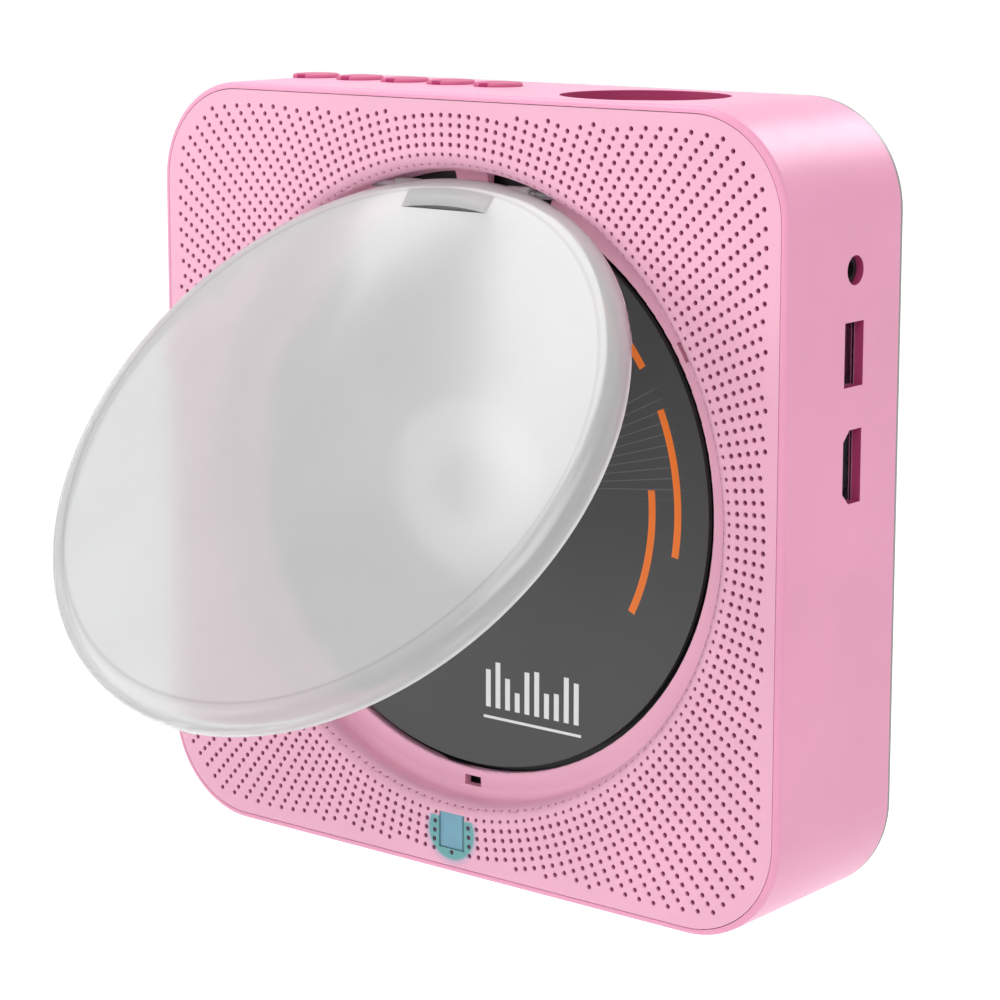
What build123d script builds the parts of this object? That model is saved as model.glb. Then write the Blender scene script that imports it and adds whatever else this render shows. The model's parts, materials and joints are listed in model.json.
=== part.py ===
from build123d import *

import math
import os

# Wall mounted compact disc player with a hinged dust cover, twin loudspeakers behind a perforated
# front and a rack driven optical pickup.
#
# Frame: millimetres, +Z up, +X to the right seen from the front.  The wall is the plane y = 0 and the
# player hangs in front of it, so its front face looks along -Y.  Every "depth" below is measured
# rearwards from the front face.

# ---------------------------------------------------------------- driving dimensions
# Body
FRAME_W = 11.7  # from the edge of the disc well to the side of the body
BODY_DEPTH = 41.0
BODY_CORNER_R = 22.0
WALL = 2.2
SHELL_EDGE_R = 1.2  # rounded outer edge round the front
REAR_PLATE_T = 1.4  # visible edge of the rear cover
PANEL_INSET = 1.5  # rim of the shell left round the front panel
PANEL_T = 2.0
PANEL_GAP = 0.15
LIP_W = 1.6  # inner lip that the front panel rests on
LIP_T = 1.0

# Disc
DISC_R = 60.0
DISC_HOLE_R = 7.5
DISC_T = 1.2
DISC_DEPTH = 7.6

# Disc well in the front panel
DISC_CLEARANCE = 1.3
LEDGE_W = 3.5
RIM_R = 4.0
COVE_R = 2.0
RING_WALL = 2.4
LEDGE_DEPTH = 7.2
LEDGE_T = 2.0
WELL_LIP_R = 0.5

# Perforation: holes on rings about the disc axis, in line along the rays
HOLE_RING_PITCH = 2.0
HOLE_RAYS = 200
HOLE_R = 0.55

# Dust cover
COVER_GAP = 1.6  # round the closed cover, to the wall of the well
COVER_HEIGHT = 5.1
COVER_T = 1.6
COVER_EDGE_R = 3.7
COVER_SEAT_GAP = 0.3  # mouth of the closed cover above the ledge
REST_OPEN_ANGLE = 42.0
HINGE_INSET = 2.6
HINGE_DEPTH = 4.4
LUG_R = 1.5
LUG_X = 11.9  # inner end of each lug
LUG_LENGTH = 5.8
HINGE_PIN_R = 0.8
HINGE_PIN_LENGTH = 12.0
HINGE_PIN_SETBACK = 3.4  # from the lug's inner end to the blind end of its bore
RUNNING_GAP = 0.05  # radial clearance of every shaft and pin
HINGE_SLOT_X = 12.75  # centre of each hinge slot, from the middle
HINGE_SLOT_LENGTH = 17.0
SLOT_INSET = 1.0
SLOT_W = 3.9
KNUCKLE_NOTCH_W = 23.0
KNUCKLE_NOTCH_H = 1.5
CATCH_ANGLES = (270.0, 32.0, 148.0)
CATCH_SLOT_W = 4.4
CATCH_SLOT_GAP = 0.5  # radial clearance either side of a catch
CATCH_INSET = 1.3
CATCH_T = 1.2
CATCH_W = 3.0
CATCH_LENGTH = 2.1
GRIP_W = 23.0  # crescent groove in the cover's face
GRIP_RISE = 1.1
GRIP_INSET = 9.9
GRIP_GROOVE = 0.5

# Disc tray
TRAY_RIM = 4.3
TRAY_DEPTH = 10.6
TRAY_T = 1.6
TRAY_HUB_R = 17.0
TRAY_RING_T = 2.4
PICKUP_SLOT_W = 12.0

# Spindle
TURNTABLE_R = 15.0
PAD_T = 0.5
PAD_INNER_R = 9.5
TURNTABLE_T = 1.4
TURNTABLE_BOSS_R = 4.0
TURNTABLE_BOSS_T = 1.9
HUB_R = 7.35
HUB_HEIGHT = 3.4
HUB_DOME_R = 1.4
BALL_R = 1.25
BALL_CIRCLE_R = 6.9
BALL_DEPTH = 6.45
BALL_COUNT = 3
SPINDLE_R = 1.0
SPINDLE_LENGTH = 13.0
SPINDLE_DEPTH = 7.0
MOTOR_R = 11.5
MOTOR_T = 6.8
MOTOR_NECK_R = 3.0
MOTOR_NECK_T = 0.3

# Mechanism chassis
CHASSIS_DEPTH = 13.0
CHASSIS_T = 1.2
CHASSIS_RIGHT = 22.0
CHASSIS_HALF_H = 30.0
WINDOW_RIGHT = -13.2
WINDOW_HALF_H = 12.0
ROD_R = 1.5
ROD_SPACING = 32.0
ROD_DEPTH = 18.0
ROD_RIGHT = -13.5
ROD_POST_W = 4.0
ROD_POST_H = 6.0
ROD_POST_DEPTH = 20.6
DAMPER_R = 4.0
DAMPER_NECK_R = 3.0
DAMPER_BORE_R = 2.0
DAMPER_FLANGE_T = 0.8
DAMPER_RIGHT = 14.0
DAMPER_Z = 24.5
DAMPER_SCREW_R = 1.0
DAMPER_SCREW_HEAD_R = 3.2
DAMPER_SCREW_HEAD_T = 1.2

# Pickup sled: it starts at the inner track and travels along -X
INNER_TRACK_R = 24.0
OUTER_MARGIN = 2.0  # from the last track to the disc's edge
SLED_STOP = 1.5  # left between the sled and the posts at its outer end
SLED_LEFT = -34.0  # at the inner track
SLED_BLOCK_RIGHT = -14.6
SLED_CARRIER_RIGHT = -18.2
SLED_HALF_H = 10.5
SLED_TOP_DEPTH = 12.6
SLED_BOTTOM_DEPTH = 21.8
SLED_CARRIER_HALF_H = 19.4
SLED_CARRIER_TOP = 15.6
SLED_CARRIER_BOTTOM = 20.6
LENS_R = 2.4
LENS_HOLDER_R = 4.0
LENS_HOLDER_DEPTH = 11.0
LENS_DOME = 0.5

# Gear train
GEAR_MODULE = 0.8
PRESSURE_ANGLE = 25.0
PINION_TEETH = 14
WHEEL_TEETH = 40
MOTOR_TEETH = 12
GEAR_BACKLASH = 0.16
RACK_T = 2.4
RACK_WHEEL_GAP = 1.2
RACK_BODY_H = 2.0
GEAR_X = -38.0
PINION_OVERRUN = 0.4  # pinion teeth past the face of the rack
PINION_T = 3.2
WHEEL_MOTOR_GAP = 1.0
WHEEL_T = 2.2
GEAR_STUD_R = 1.5
SLED_MOTOR_BEARING = -60.0  # direction from the idler to the sled motor, degrees
SLED_MOTOR_R = 8.0
SLED_MOTOR_T = 7.6
SLED_MOTOR_SHAFT_R = 1.0

# Controls on the top
BUTTON_NAMES = ("power_button", "previous_button", "play_button", "next_button", "mode_button")
BUTTON_R = 5.2
BUTTON_GAP = 0.2
BUTTON_INSET = 22.5  # from the left side to the middle of the first button
BUTTON_PITCH = 13.0
BUTTON_DEPTH = 25.5
BUTTON_PROUD = 0.8
BUTTON_EDGE_R = 0.5
BUTTON_TRAVEL = 0.6
BUTTON_HEIGHT = 5.3
BUTTON_EAR_W = 6.0
BUTTON_EAR_L = 13.0
BUTTON_EAR_T = 1.2
BUTTON_EAR_DROP = 0.4  # ear below the inside of the top wall
SWITCH_SIZE = 6.0
SWITCH_T = 2.9
SWITCH_PLUNGER_R = 1.7
SWITCH_CLEARANCE = 0.1  # plunger below a button that is pressed home
BUTTON_BOARD_T = 1.6
SWITCH_PLUNGER_H = 0.6
BUTTON_POST_R = 2.2
BUTTON_POST_INSET = 5.0  # from the back of the shell
TOP_WELL_X = 34.2
TOP_WELL_MARGIN = 4.0  # left between the cup's opening and the front and back of the body
TOP_WELL_STRETCH = 1.4  # the cup is this much wider across than front to back, each way
TOP_WELL_WALL = 1.0
TOP_WELL_FLOOR = 1.5
TOP_WELL_H = 8.8

# Indicator window under the disc
WINDOW_DROP = 0.3  # below the ring round the well
WINDOW_W = 7.0
WINDOW_H = 7.8
WINDOW_GAP = 0.1
WINDOW_SUNK = 0.4
WINDOW_FLANGE = 1.2
RECEIVER_W = 6.0
RECEIVER_T = 3.2
INDICATOR_BOARD_W = 14.0
INDICATOR_BOARD_T = 1.2

# Loudspeakers
SPEAKER_INSET = 22.0  # of its axis from the sides of the body
SPEAKER_R = 14.0
SPEAKER_FLANGE_T = 1.5
SPEAKER_SEAT_GAP = 0.2
SPEAKER_BASKET_DEPTH = 12.0
SPEAKER_THROAT_R = 9.5
SPEAKER_METAL_T = 0.9
CONE_R = 12.0
CONE_THROAT_R = 5.0
CONE_T = 0.7
MAGNET_R = 9.0
MAGNET_T = 5.5
GRILLE_ZONE_R = 12.5

# Sockets on the right side, and the supply inlet underneath
PORT_DEPTH = 24.0
JACK_DROP = 11.6  # of the sockets, below the top edge of the main board
USB_DROP = 28.1
HDMI_DROP = 50.4
JACK_NOSE_R = 2.8
JACK_BORE_R = 1.8
JACK_BODY_L = 16.0
JACK_BODY_H = 7.0
USB_W = 13.1
USB_T = 5.9
USB_L = 15.5
USB_TONGUE_W = 11.4
USB_TONGUE_T = 1.9
HDMI_W = 15.0
HDMI_T = 5.9
HDMI_L = 12.5
HDMI_CHAMFER = 1.4
HDMI_TONGUE_W = 12.0
HDMI_TONGUE_T = 1.3
SOCKET_METAL_T = 0.35
USB_OPENING = (6.8, 12.8)
HDMI_OPENING = (6.6, 14.8)
HDMI_OPENING_CORNER = 2.2
OPENING_GAP = 0.15
SOCKET_SETBACK = 0.2  # of the metal sockets, behind the inside of the side wall
JACK_NOSE_L = 0.6
DC_X = 20.0
DC_BORE_R = 2.75
DC_PIN_R = 1.0
DC_BODY_W = 9.0
DC_BODY_T = 7.2
DC_BODY_L = 16.0
DC_OPENING_R = 3.2

# Main board
BOARD_T = 1.6
BOARD_LEFT = -6.0
BOARD_RIGHT_GAP = 2.8
BOARD_BOTTOM_GAP = 12.8
BOARD_TOP_GAP = 18.3
BOARD_SEAT = 0.05
STANDOFF_INSET = 7.5
STANDOFF_CORNER_INSET = 19.5  # of the lower right one, beside the screw post
STANDOFF_R = 3.2
BOARD_SCREW_R = 1.2
BOARD_SCREW_HEAD_R = 2.6
BOARD_SCREW_HEAD_T = 1.4
BOARD_SCREW_L = 8.0
CHIP_SIZE = 14.0
CHIP_T = 1.6
CAPACITOR_R = 4.0
CAPACITOR_H = 8.5

# Rear cover and its screws
REGISTER_T = 1.5
REGISTER_H = 2.6
REGISTER_GAP = 0.15
POST_R = 4.2
POST_DEPTH = 19.0
BOSS_GAP = 0.1
COVER_BOSS_R = 3.0
COVER_BOSS_T = 3.0
SCREW_R = 1.3
SCREW_HEAD_R = 2.6
SCREW_HEAD_T = 1.6
SCREW_L = 11.0
VENT_COUNT = 5
VENT_PITCH = 4.0
VENT_L = 30.0
VENT_W = 1.6
VENT_Z = 52.0
VENT_X = -36.0

# Wall bracket and the keyholes that hang on it
BRACKET_W = 56.0
BRACKET_H = 36.0
BRACKET_T = 2.0
BRACKET_CORNER_R = 5.0
BRACKET_HOLE_R = 2.25
BRACKET_HOLE_SPACING = 40.0
STUD_SPACING = 20.0
STUD_R = 2.0
STUD_HEAD_R = 4.0
STUD_HEAD_T = 1.2
STUD_Z = 8.0
POCKET_SIDE_GAP = 2.0
POCKET_TOP = 20.0
POCKET_BOTTOM = -30.0
POCKET_DEPTH = 4.4
POCKET_FLOOR_T = 1.6
KEYHOLE_DROP = 10.0
KEYHOLE_ENTRY_R = 4.5
KEYHOLE_GAP = 0.3
STUD_FLOOR_GAP = 0.2

# ---------------------------------------------------------------- worked out from the above
WELL_R = DISC_R + DISC_CLEARANCE
LEDGE_R = WELL_R + LEDGE_W  # outer edge of the flat ledge
WELL_WALL_R = LEDGE_R + COVE_R
RIM_START_R = WELL_WALL_R + RIM_R  # where the flat front starts to round over into the well
RING_OUTER_R = WELL_WALL_R + RING_WALL
SLOT_INNER_R = WELL_R + SLOT_INSET
SLOT_OUTER_R = SLOT_INNER_R + SLOT_W
COVER_R = WELL_WALL_R - COVER_GAP
HINGE_Z = COVER_R - HINGE_INSET
CATCH_R = COVER_R - CATCH_INSET
GRIP_Z = COVER_R - GRIP_INSET
HALF = RIM_START_R + FRAME_W
BODY_SIZE = 2 * HALF
INNER_HALF = HALF - WALL
INNER_R = BODY_CORNER_R - WALL
TOP_INSIDE = INNER_HALF
PANEL_SIZE = BODY_SIZE - 2 * PANEL_INSET
PANEL_R = BODY_CORNER_R - PANEL_INSET
LIP_OPENING = BODY_SIZE - 2 * (WALL + LIP_W)
RING_DEPTH = LEDGE_DEPTH + LEDGE_T
SHELL_REAR_DEPTH = BODY_DEPTH - REAR_PLATE_T
MOUTH_DEPTH = LEDGE_DEPTH - COVER_SEAT_GAP
DISC_REAR = DISC_DEPTH + DISC_T
TURNTABLE_DEPTH = DISC_REAR + PAD_T
CHASSIS_REAR = CHASSIS_DEPTH + CHASSIS_T
TRAY_REAR = TRAY_DEPTH + TRAY_T
WHEEL_DEPTH = CHASSIS_REAR + SLED_MOTOR_T + WHEEL_MOTOR_GAP
RACK_DEPTH = WHEEL_DEPTH - RACK_WHEEL_GAP - RACK_T
PINION_DEPTH = RACK_DEPTH - PINION_OVERRUN
ROD_Z = ROD_SPACING / 2
RACK_TOP_Z = -SLED_CARRIER_HALF_H
RACK_PITCH_Z = RACK_TOP_Z - RACK_BODY_H - GEAR_MODULE
LENS_X = -INNER_TRACK_R
SLED_TRAVEL = DISC_R - OUTER_MARGIN - INNER_TRACK_R
ROD_LEFT = SLED_LEFT - SLED_TRAVEL - SLED_STOP - ROD_POST_W
CHASSIS_LEFT = ROD_LEFT - CHASSIS_T / 2
WINDOW_LEFT = SLED_LEFT - SLED_TRAVEL - SLED_STOP
DAMPER_X = (-DISC_R, DAMPER_RIGHT)
TRAY_R = WELL_R + TRAY_RING_T + TRAY_RIM
PINION_PITCH_R = GEAR_MODULE * PINION_TEETH / 2
WHEEL_PITCH_R = GEAR_MODULE * WHEEL_TEETH / 2
MOTOR_PITCH_R = GEAR_MODULE * MOTOR_TEETH / 2
GEAR_Z = RACK_PITCH_Z - PINION_PITCH_R
GEAR_CENTRES = WHEEL_PITCH_R + MOTOR_PITCH_R
SLED_MOTOR_X = GEAR_X + GEAR_CENTRES * math.cos(math.radians(SLED_MOTOR_BEARING))
SLED_MOTOR_Z = GEAR_Z + GEAR_CENTRES * math.sin(math.radians(SLED_MOTOR_BEARING))
BUTTON_X = [BUTTON_INSET - HALF + BUTTON_PITCH * n for n in range(len(BUTTON_NAMES))]
BUTTON_TOP = HALF + BUTTON_PROUD
BUTTON_BOTTOM = BUTTON_TOP - BUTTON_HEIGHT
SWITCH_TOP = BUTTON_BOTTOM - BUTTON_TRAVEL - SWITCH_CLEARANCE
BUTTON_BOARD_TOP = SWITCH_TOP - SWITCH_PLUNGER_H - SWITCH_T
BUTTON_POST_DEPTH = SHELL_REAR_DEPTH - BUTTON_POST_INSET
TOP_WELL_DEPTH = BODY_DEPTH / 2
TOP_WELL_R = BODY_DEPTH / 2 - TOP_WELL_MARGIN
WINDOW_Z = -(RING_OUTER_R + WINDOW_DROP + WINDOW_H / 2)
SPEAKER_XZ = HALF - SPEAKER_INSET
BOARD_RIGHT = INNER_HALF - BOARD_RIGHT_GAP
BOARD_BOTTOM = -(INNER_HALF - BOARD_BOTTOM_GAP)
BOARD_TOP = INNER_HALF - BOARD_TOP_GAP
JACK_Z = BOARD_TOP - JACK_DROP
USB_Z = BOARD_TOP - USB_DROP
HDMI_Z = BOARD_TOP - HDMI_DROP
STANDOFFS = (
    (BOARD_LEFT + STANDOFF_INSET, BOARD_TOP - STANDOFF_INSET),
    (BOARD_RIGHT - STANDOFF_INSET, BOARD_TOP - STANDOFF_INSET / 2),
    (BOARD_LEFT + STANDOFF_INSET, BOARD_BOTTOM + STANDOFF_INSET),
    (BOARD_RIGHT - STANDOFF_CORNER_INSET, BOARD_BOTTOM + STANDOFF_INSET),
)
POST_XZ = HALF - BODY_CORNER_R + (INNER_R - REGISTER_GAP - COVER_BOSS_R - BOSS_GAP) / math.sqrt(2)
BOARD_DEPTH = PORT_DEPTH + USB_T / 2 + BOARD_SEAT
DC_DEPTH = BOARD_DEPTH - BOARD_SEAT - DC_BODY_T / 2
POCKET_W = BRACKET_W + 2 * POCKET_SIDE_GAP
FLOOR_REAR_Y = -POCKET_DEPTH
FLOOR_FRONT_Y = -POCKET_DEPTH - POCKET_FLOOR_T

os.makedirs("parts", exist_ok=True)


# ---------------------------------------------------------------- helpers
def at_depth(depth):
    """A plane that looks out of the front, a depth behind the front face."""
    return Plane.XZ.offset(BODY_DEPTH - depth)


def plane_about(depth, x, z):
    """A plane a depth behind the front face with its origin at x, z; its x runs along +X."""
    return Plane((x, y_at(depth), z), (1, 0, 0), (0, -1, 0))


def y_at(depth):
    """The y coordinate of a depth behind the front face."""
    return depth - BODY_DEPTH


def save(piece, name):
    """Label a finished piece and write it to its STEP file."""
    piece.part.label = name
    export_step(piece.part, f"parts/{name}.step")


def cut_corners(depth, height, corner):
    """An upright rectangle whose two corners towards the front are cut off."""
    with BuildSketch() as outline:
        Rectangle(depth, height)
        if corner:
            chamfer(outline.vertices().group_by(Axis.X)[0], corner)
    return outline.sketch


def sector(inner_r, outer_r, start_deg, end_deg):
    """A slot that follows the disc's edge."""
    with BuildSketch() as slot:
        with BuildLine():
            CenterArc((0, 0), outer_r, start_deg, end_deg - start_deg)
            CenterArc((0, 0), inner_r, start_deg, end_deg - start_deg)
            for angle in (start_deg, end_deg):
                Line(polar_point(inner_r, angle), polar_point(outer_r, angle))
        make_face()
    return slot.sketch


def polar_point(radius, angle_deg):
    """A point of a sketch from its radius and angle."""
    angle = math.radians(angle_deg)
    return (radius * math.cos(angle), radius * math.sin(angle))


def angle_at(radius, x):
    """The angle at which a circle in the upper half passes a given x."""
    return math.degrees(math.acos(x / radius))


def involute(base_r, radius):
    """The angle that an involute has turned through when it reaches a radius."""
    swing = math.sqrt((radius / base_r) ** 2 - 1)
    return swing - math.atan(swing)


def gear_outline(teeth, phase_deg=0.0):
    """The outline of an involute gear, with one tooth centred on phase_deg."""
    pitch_r = GEAR_MODULE * teeth / 2
    base_r = pitch_r * math.cos(math.radians(PRESSURE_ANGLE))
    tip_r = pitch_r + GEAR_MODULE
    root_r = pitch_r - 1.25 * GEAR_MODULE
    half_tooth = math.pi / (2 * teeth) - GEAR_BACKLASH / (2 * pitch_r)
    flank_radii = [max(base_r, root_r), pitch_r - 0.3 * GEAR_MODULE, pitch_r + 0.4 * GEAR_MODULE, tip_r]
    outline = []
    for tooth in range(teeth):
        centre = math.radians(phase_deg) + 2 * math.pi * tooth / teeth
        rising = []
        for radius in flank_radii:
            half = half_tooth + involute(base_r, pitch_r) - involute(base_r, radius)
            rising.append((radius, half))
        root_half = rising[0][1]
        outline.append((root_r, centre - root_half))
        outline += [(radius, centre - half) for radius, half in rising]
        outline += [(radius, centre + half) for radius, half in reversed(rising)]
        outline.append((root_r, centre + root_half))
    points = [(radius * math.cos(angle), radius * math.sin(angle)) for radius, angle in outline]
    points = [point for point, before in zip(points, [None] + points) if point != before]
    with BuildSketch() as gear:
        with BuildLine():
            Polyline(*points, close=True)
        make_face()
    return gear.sketch


# ---------------------------------------------------------------- main shell
with BuildPart() as main_shell:
    with BuildSketch(at_depth(0)):
        RectangleRounded(BODY_SIZE, BODY_SIZE, BODY_CORNER_R)
    extrude(amount=-SHELL_REAR_DEPTH)
    fillet(main_shell.faces().sort_by(Axis.Y)[0].edges(), SHELL_EDGE_R)
    with BuildSketch(at_depth(0)):
        RectangleRounded(PANEL_SIZE + 2 * PANEL_GAP, PANEL_SIZE + 2 * PANEL_GAP, PANEL_R + PANEL_GAP)
    extrude(amount=-PANEL_T, mode=Mode.SUBTRACT)
    with BuildSketch(at_depth(PANEL_T)):
        RectangleRounded(LIP_OPENING, LIP_OPENING, INNER_R - LIP_W)
    extrude(amount=-LIP_T, mode=Mode.SUBTRACT)
    with BuildSketch(at_depth(PANEL_T + LIP_T)):
        RectangleRounded(2 * INNER_HALF, 2 * INNER_HALF, INNER_R)
    extrude(amount=-BODY_DEPTH, mode=Mode.SUBTRACT)
    # screw posts in the four corners, each tied to the wall behind it
    with BuildSketch(at_depth(POST_DEPTH)):
        with GridLocations(2 * POST_XZ, 2 * POST_XZ, 2, 2):
            Circle(POST_R)
    extrude(amount=-(SHELL_REAR_DEPTH - COVER_BOSS_T - POST_DEPTH))
    with BuildSketch(at_depth(SHELL_REAR_DEPTH)):
        with GridLocations(2 * POST_XZ, 2 * POST_XZ, 2, 2):
            Circle(SCREW_R)
    extrude(amount=SCREW_L, mode=Mode.SUBTRACT)
    # posts for the button board
    with BuildSketch(Plane.XY.offset(BUTTON_BOARD_TOP)):
        with Locations(*[(BUTTON_X[n] + BUTTON_PITCH / 2, y_at(BUTTON_POST_DEPTH)) for n in (0, 3)]):
            Circle(BUTTON_POST_R)
    extrude(until=Until.NEXT)
    # openings in the top, the right side and underneath
    with BuildSketch(Plane.XY.offset(HALF)):
        with Locations(*[(x, y_at(BUTTON_DEPTH)) for x in BUTTON_X]):
            Circle(BUTTON_R + BUTTON_GAP)
        with Locations((TOP_WELL_X, y_at(TOP_WELL_DEPTH))):
            Ellipse(TOP_WELL_R + TOP_WELL_STRETCH, TOP_WELL_R)
    extrude(amount=-2 * WALL, mode=Mode.SUBTRACT)
    with BuildSketch(Plane.YZ.offset(HALF)):
        with Locations((y_at(PORT_DEPTH), JACK_Z)):
            Circle(JACK_NOSE_R + OPENING_GAP)
        with Locations((y_at(PORT_DEPTH), USB_Z)):
            Rectangle(*USB_OPENING)
        with Locations((y_at(PORT_DEPTH), HDMI_Z)):
            add(cut_corners(*HDMI_OPENING, HDMI_OPENING_CORNER))
    extrude(amount=-WALL, mode=Mode.SUBTRACT)
    with BuildSketch(Plane.XY.offset(-HALF)):
        with Locations((DC_X, y_at(DC_DEPTH))):
            Circle(DC_OPENING_R)
    extrude(amount=WALL, mode=Mode.SUBTRACT)
save(main_shell, "main_shell")

# ---------------------------------------------------------------- front panel with the disc well
grille_points = []
for ring in range(math.ceil(RIM_START_R / HOLE_RING_PITCH), math.ceil(PANEL_SIZE / HOLE_RING_PITCH)):
    for ray in range(HOLE_RAYS):
        hole = polar_point(ring * HOLE_RING_PITCH, 360 * ray / HOLE_RAYS)
        if math.hypot(abs(hole[0]) - SPEAKER_XZ, hole[1] + SPEAKER_XZ) < GRILLE_ZONE_R:
            grille_points.append(hole)

with BuildPart() as front_panel:
    with BuildSketch(at_depth(0)):
        RectangleRounded(PANEL_SIZE, PANEL_SIZE, PANEL_R)
        with Locations((0, WINDOW_Z)):
            Rectangle(WINDOW_W, WINDOW_H, mode=Mode.SUBTRACT)
        with Locations(*grille_points):
            Circle(HOLE_R, mode=Mode.SUBTRACT)
    extrude(amount=-PANEL_T)
    with BuildSketch(at_depth(PANEL_T)):
        Circle(RING_OUTER_R)
    extrude(amount=-(RING_DEPTH - PANEL_T))
    # the well: a rounded rim, a coved wall, a flat ledge for the cover and the opening for the disc
    with BuildSketch(Plane.XY):
        with BuildLine():
            front = y_at(0)
            ledge = y_at(LEDGE_DEPTH)
            rim = CenterArc((RIM_START_R, front + RIM_R), RIM_R, -90, -90)
            cove = CenterArc((LEDGE_R, ledge - COVE_R), COVE_R, 0, 90)
            lip = CenterArc((WELL_R + WELL_LIP_R, ledge + WELL_LIP_R), WELL_LIP_R, -90, -90)
            Line(rim @ 1, cove @ 0)
            Line(cove @ 1, lip @ 0)
            Polyline(lip @ 1, (WELL_R, 0), (0, 0), (0, front - 1), (RIM_START_R, front - 1), rim @ 0)
        make_face()
    revolve(axis=Axis.Y, mode=Mode.SUBTRACT)
    # slots for the hinge lugs at the top, and for the cover's three catches
    with BuildSketch(at_depth(LEDGE_DEPTH - COVE_R)):
        near_x = HINGE_SLOT_X - HINGE_SLOT_LENGTH / 2
        far_x = HINGE_SLOT_X + HINGE_SLOT_LENGTH / 2
        near = angle_at(SLOT_OUTER_R, near_x)
        far = angle_at(SLOT_OUTER_R, far_x)
        add(sector(SLOT_INNER_R, SLOT_OUTER_R, far, near))
        add(sector(SLOT_INNER_R, SLOT_OUTER_R, 180 - near, 180 - far))
        half_catch = math.degrees(CATCH_SLOT_W / 2 / CATCH_R)
        for angle in CATCH_ANGLES:
            half_slot = CATCH_T / 2 + CATCH_SLOT_GAP
            add(sector(CATCH_R - half_slot, CATCH_R + half_slot, angle - half_catch, angle + half_catch))
    extrude(amount=-(COVE_R + LEDGE_T), mode=Mode.SUBTRACT)
    # blind bores for the two hinge pins
    for side in (1, -1):
        with BuildSketch(Plane.YZ.offset(side * LUG_X)):
            with Locations((y_at(HINGE_DEPTH), HINGE_Z)):
                Circle(HINGE_PIN_R + RUNNING_GAP)
        extrude(amount=side * (HINGE_PIN_SETBACK + HINGE_PIN_LENGTH + RUNNING_GAP), mode=Mode.SUBTRACT)
save(front_panel, "front_panel")

# ---------------------------------------------------------------- dust cover, open at rest
open_angle = math.radians(REST_OPEN_ANGLE)
hinge_y = y_at(HINGE_DEPTH)
mouth_drop = y_at(MOUTH_DEPTH) - hinge_y
cover_origin = Vector(
    0,
    hinge_y + mouth_drop * math.cos(open_angle) - HINGE_Z * math.sin(open_angle),
    HINGE_Z - mouth_drop * math.sin(open_angle) - HINGE_Z * math.cos(open_angle),
)
# x across, y up the cover towards the hinge, z out of its face
COVER_PLANE = Plane(cover_origin, (1, 0, 0), (0, -math.cos(open_angle), math.sin(open_angle)))
COVER_SECTION = Plane(cover_origin, (1, 0, 0), COVER_PLANE.y_dir * -1)
HINGE_LOCAL = (HINGE_Z, MOUTH_DEPTH - HINGE_DEPTH)

with BuildPart(COVER_PLANE) as dust_cover:
    with BuildSketch(COVER_SECTION):
        with BuildLine():
            inner_r = COVER_R - COVER_T
            inner_h = COVER_HEIGHT - COVER_T
            outer_arc = CenterArc(
                (COVER_R - COVER_EDGE_R, COVER_HEIGHT - COVER_EDGE_R), COVER_EDGE_R, 0, 90
            )
            inner_arc = CenterArc(
                (COVER_R - COVER_EDGE_R, COVER_HEIGHT - COVER_EDGE_R), COVER_EDGE_R - COVER_T, 0, 90
            )
            Polyline(inner_arc @ 0, (inner_r, 0), (COVER_R, 0), outer_arc @ 0)
            Polyline(outer_arc @ 1, (0, COVER_HEIGHT), (0, inner_h), inner_arc @ 1)
        make_face()
    revolve(axis=Axis(COVER_PLANE.origin, COVER_PLANE.z_dir))
    for side in (1, -1):
        with Locations((side * (LUG_X + LUG_LENGTH / 2), *HINGE_LOCAL)):
            Cylinder(LUG_R, LUG_LENGTH, rotation=(0, 90, 0))
    # catch tongues on the mouth
    for angle in CATCH_ANGLES:
        with BuildSketch(COVER_PLANE):
            with Locations(Location(polar_point(CATCH_R, angle) + (0,), (0, 0, angle))):
                Rectangle(CATCH_T, CATCH_W)
        extrude(amount=-CATCH_LENGTH)
    # the rim is relieved over the knuckle between the hinge slots
    with Locations((0, COVER_R, 0)):
        Box(KNUCKLE_NOTCH_W, 4 * COVER_T, 2 * KNUCKLE_NOTCH_H, mode=Mode.SUBTRACT)
    # bores that hold the hinge pins
    for side in (1, -1):
        pin_x = side * (LUG_X + HINGE_PIN_SETBACK + HINGE_PIN_LENGTH / 2)
        with Locations((pin_x, *HINGE_LOCAL)):
            Cylinder(HINGE_PIN_R, HINGE_PIN_LENGTH, rotation=(0, 90, 0), mode=Mode.SUBTRACT)
    # crescent finger groove
    with BuildSketch(COVER_PLANE.offset(COVER_HEIGHT)):
        with BuildLine():
            left = (-GRIP_W / 2, GRIP_Z)
            right = (GRIP_W / 2, GRIP_Z)
            ThreePointArc(left, (0, GRIP_Z + GRIP_RISE), right)
            Line(right, left)
        make_face()
    extrude(amount=-GRIP_GROOVE, mode=Mode.SUBTRACT)
save(dust_cover, "dust_cover")

with BuildPart(COVER_PLANE) as hinge_pins:
    for side in (1, -1):
        pin_x = side * (LUG_X + HINGE_PIN_SETBACK + HINGE_PIN_LENGTH / 2)
        with Locations((pin_x, *HINGE_LOCAL)):
            Cylinder(HINGE_PIN_R, HINGE_PIN_LENGTH, rotation=(0, 90, 0))
save(hinge_pins, "hinge_pins")

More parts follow.
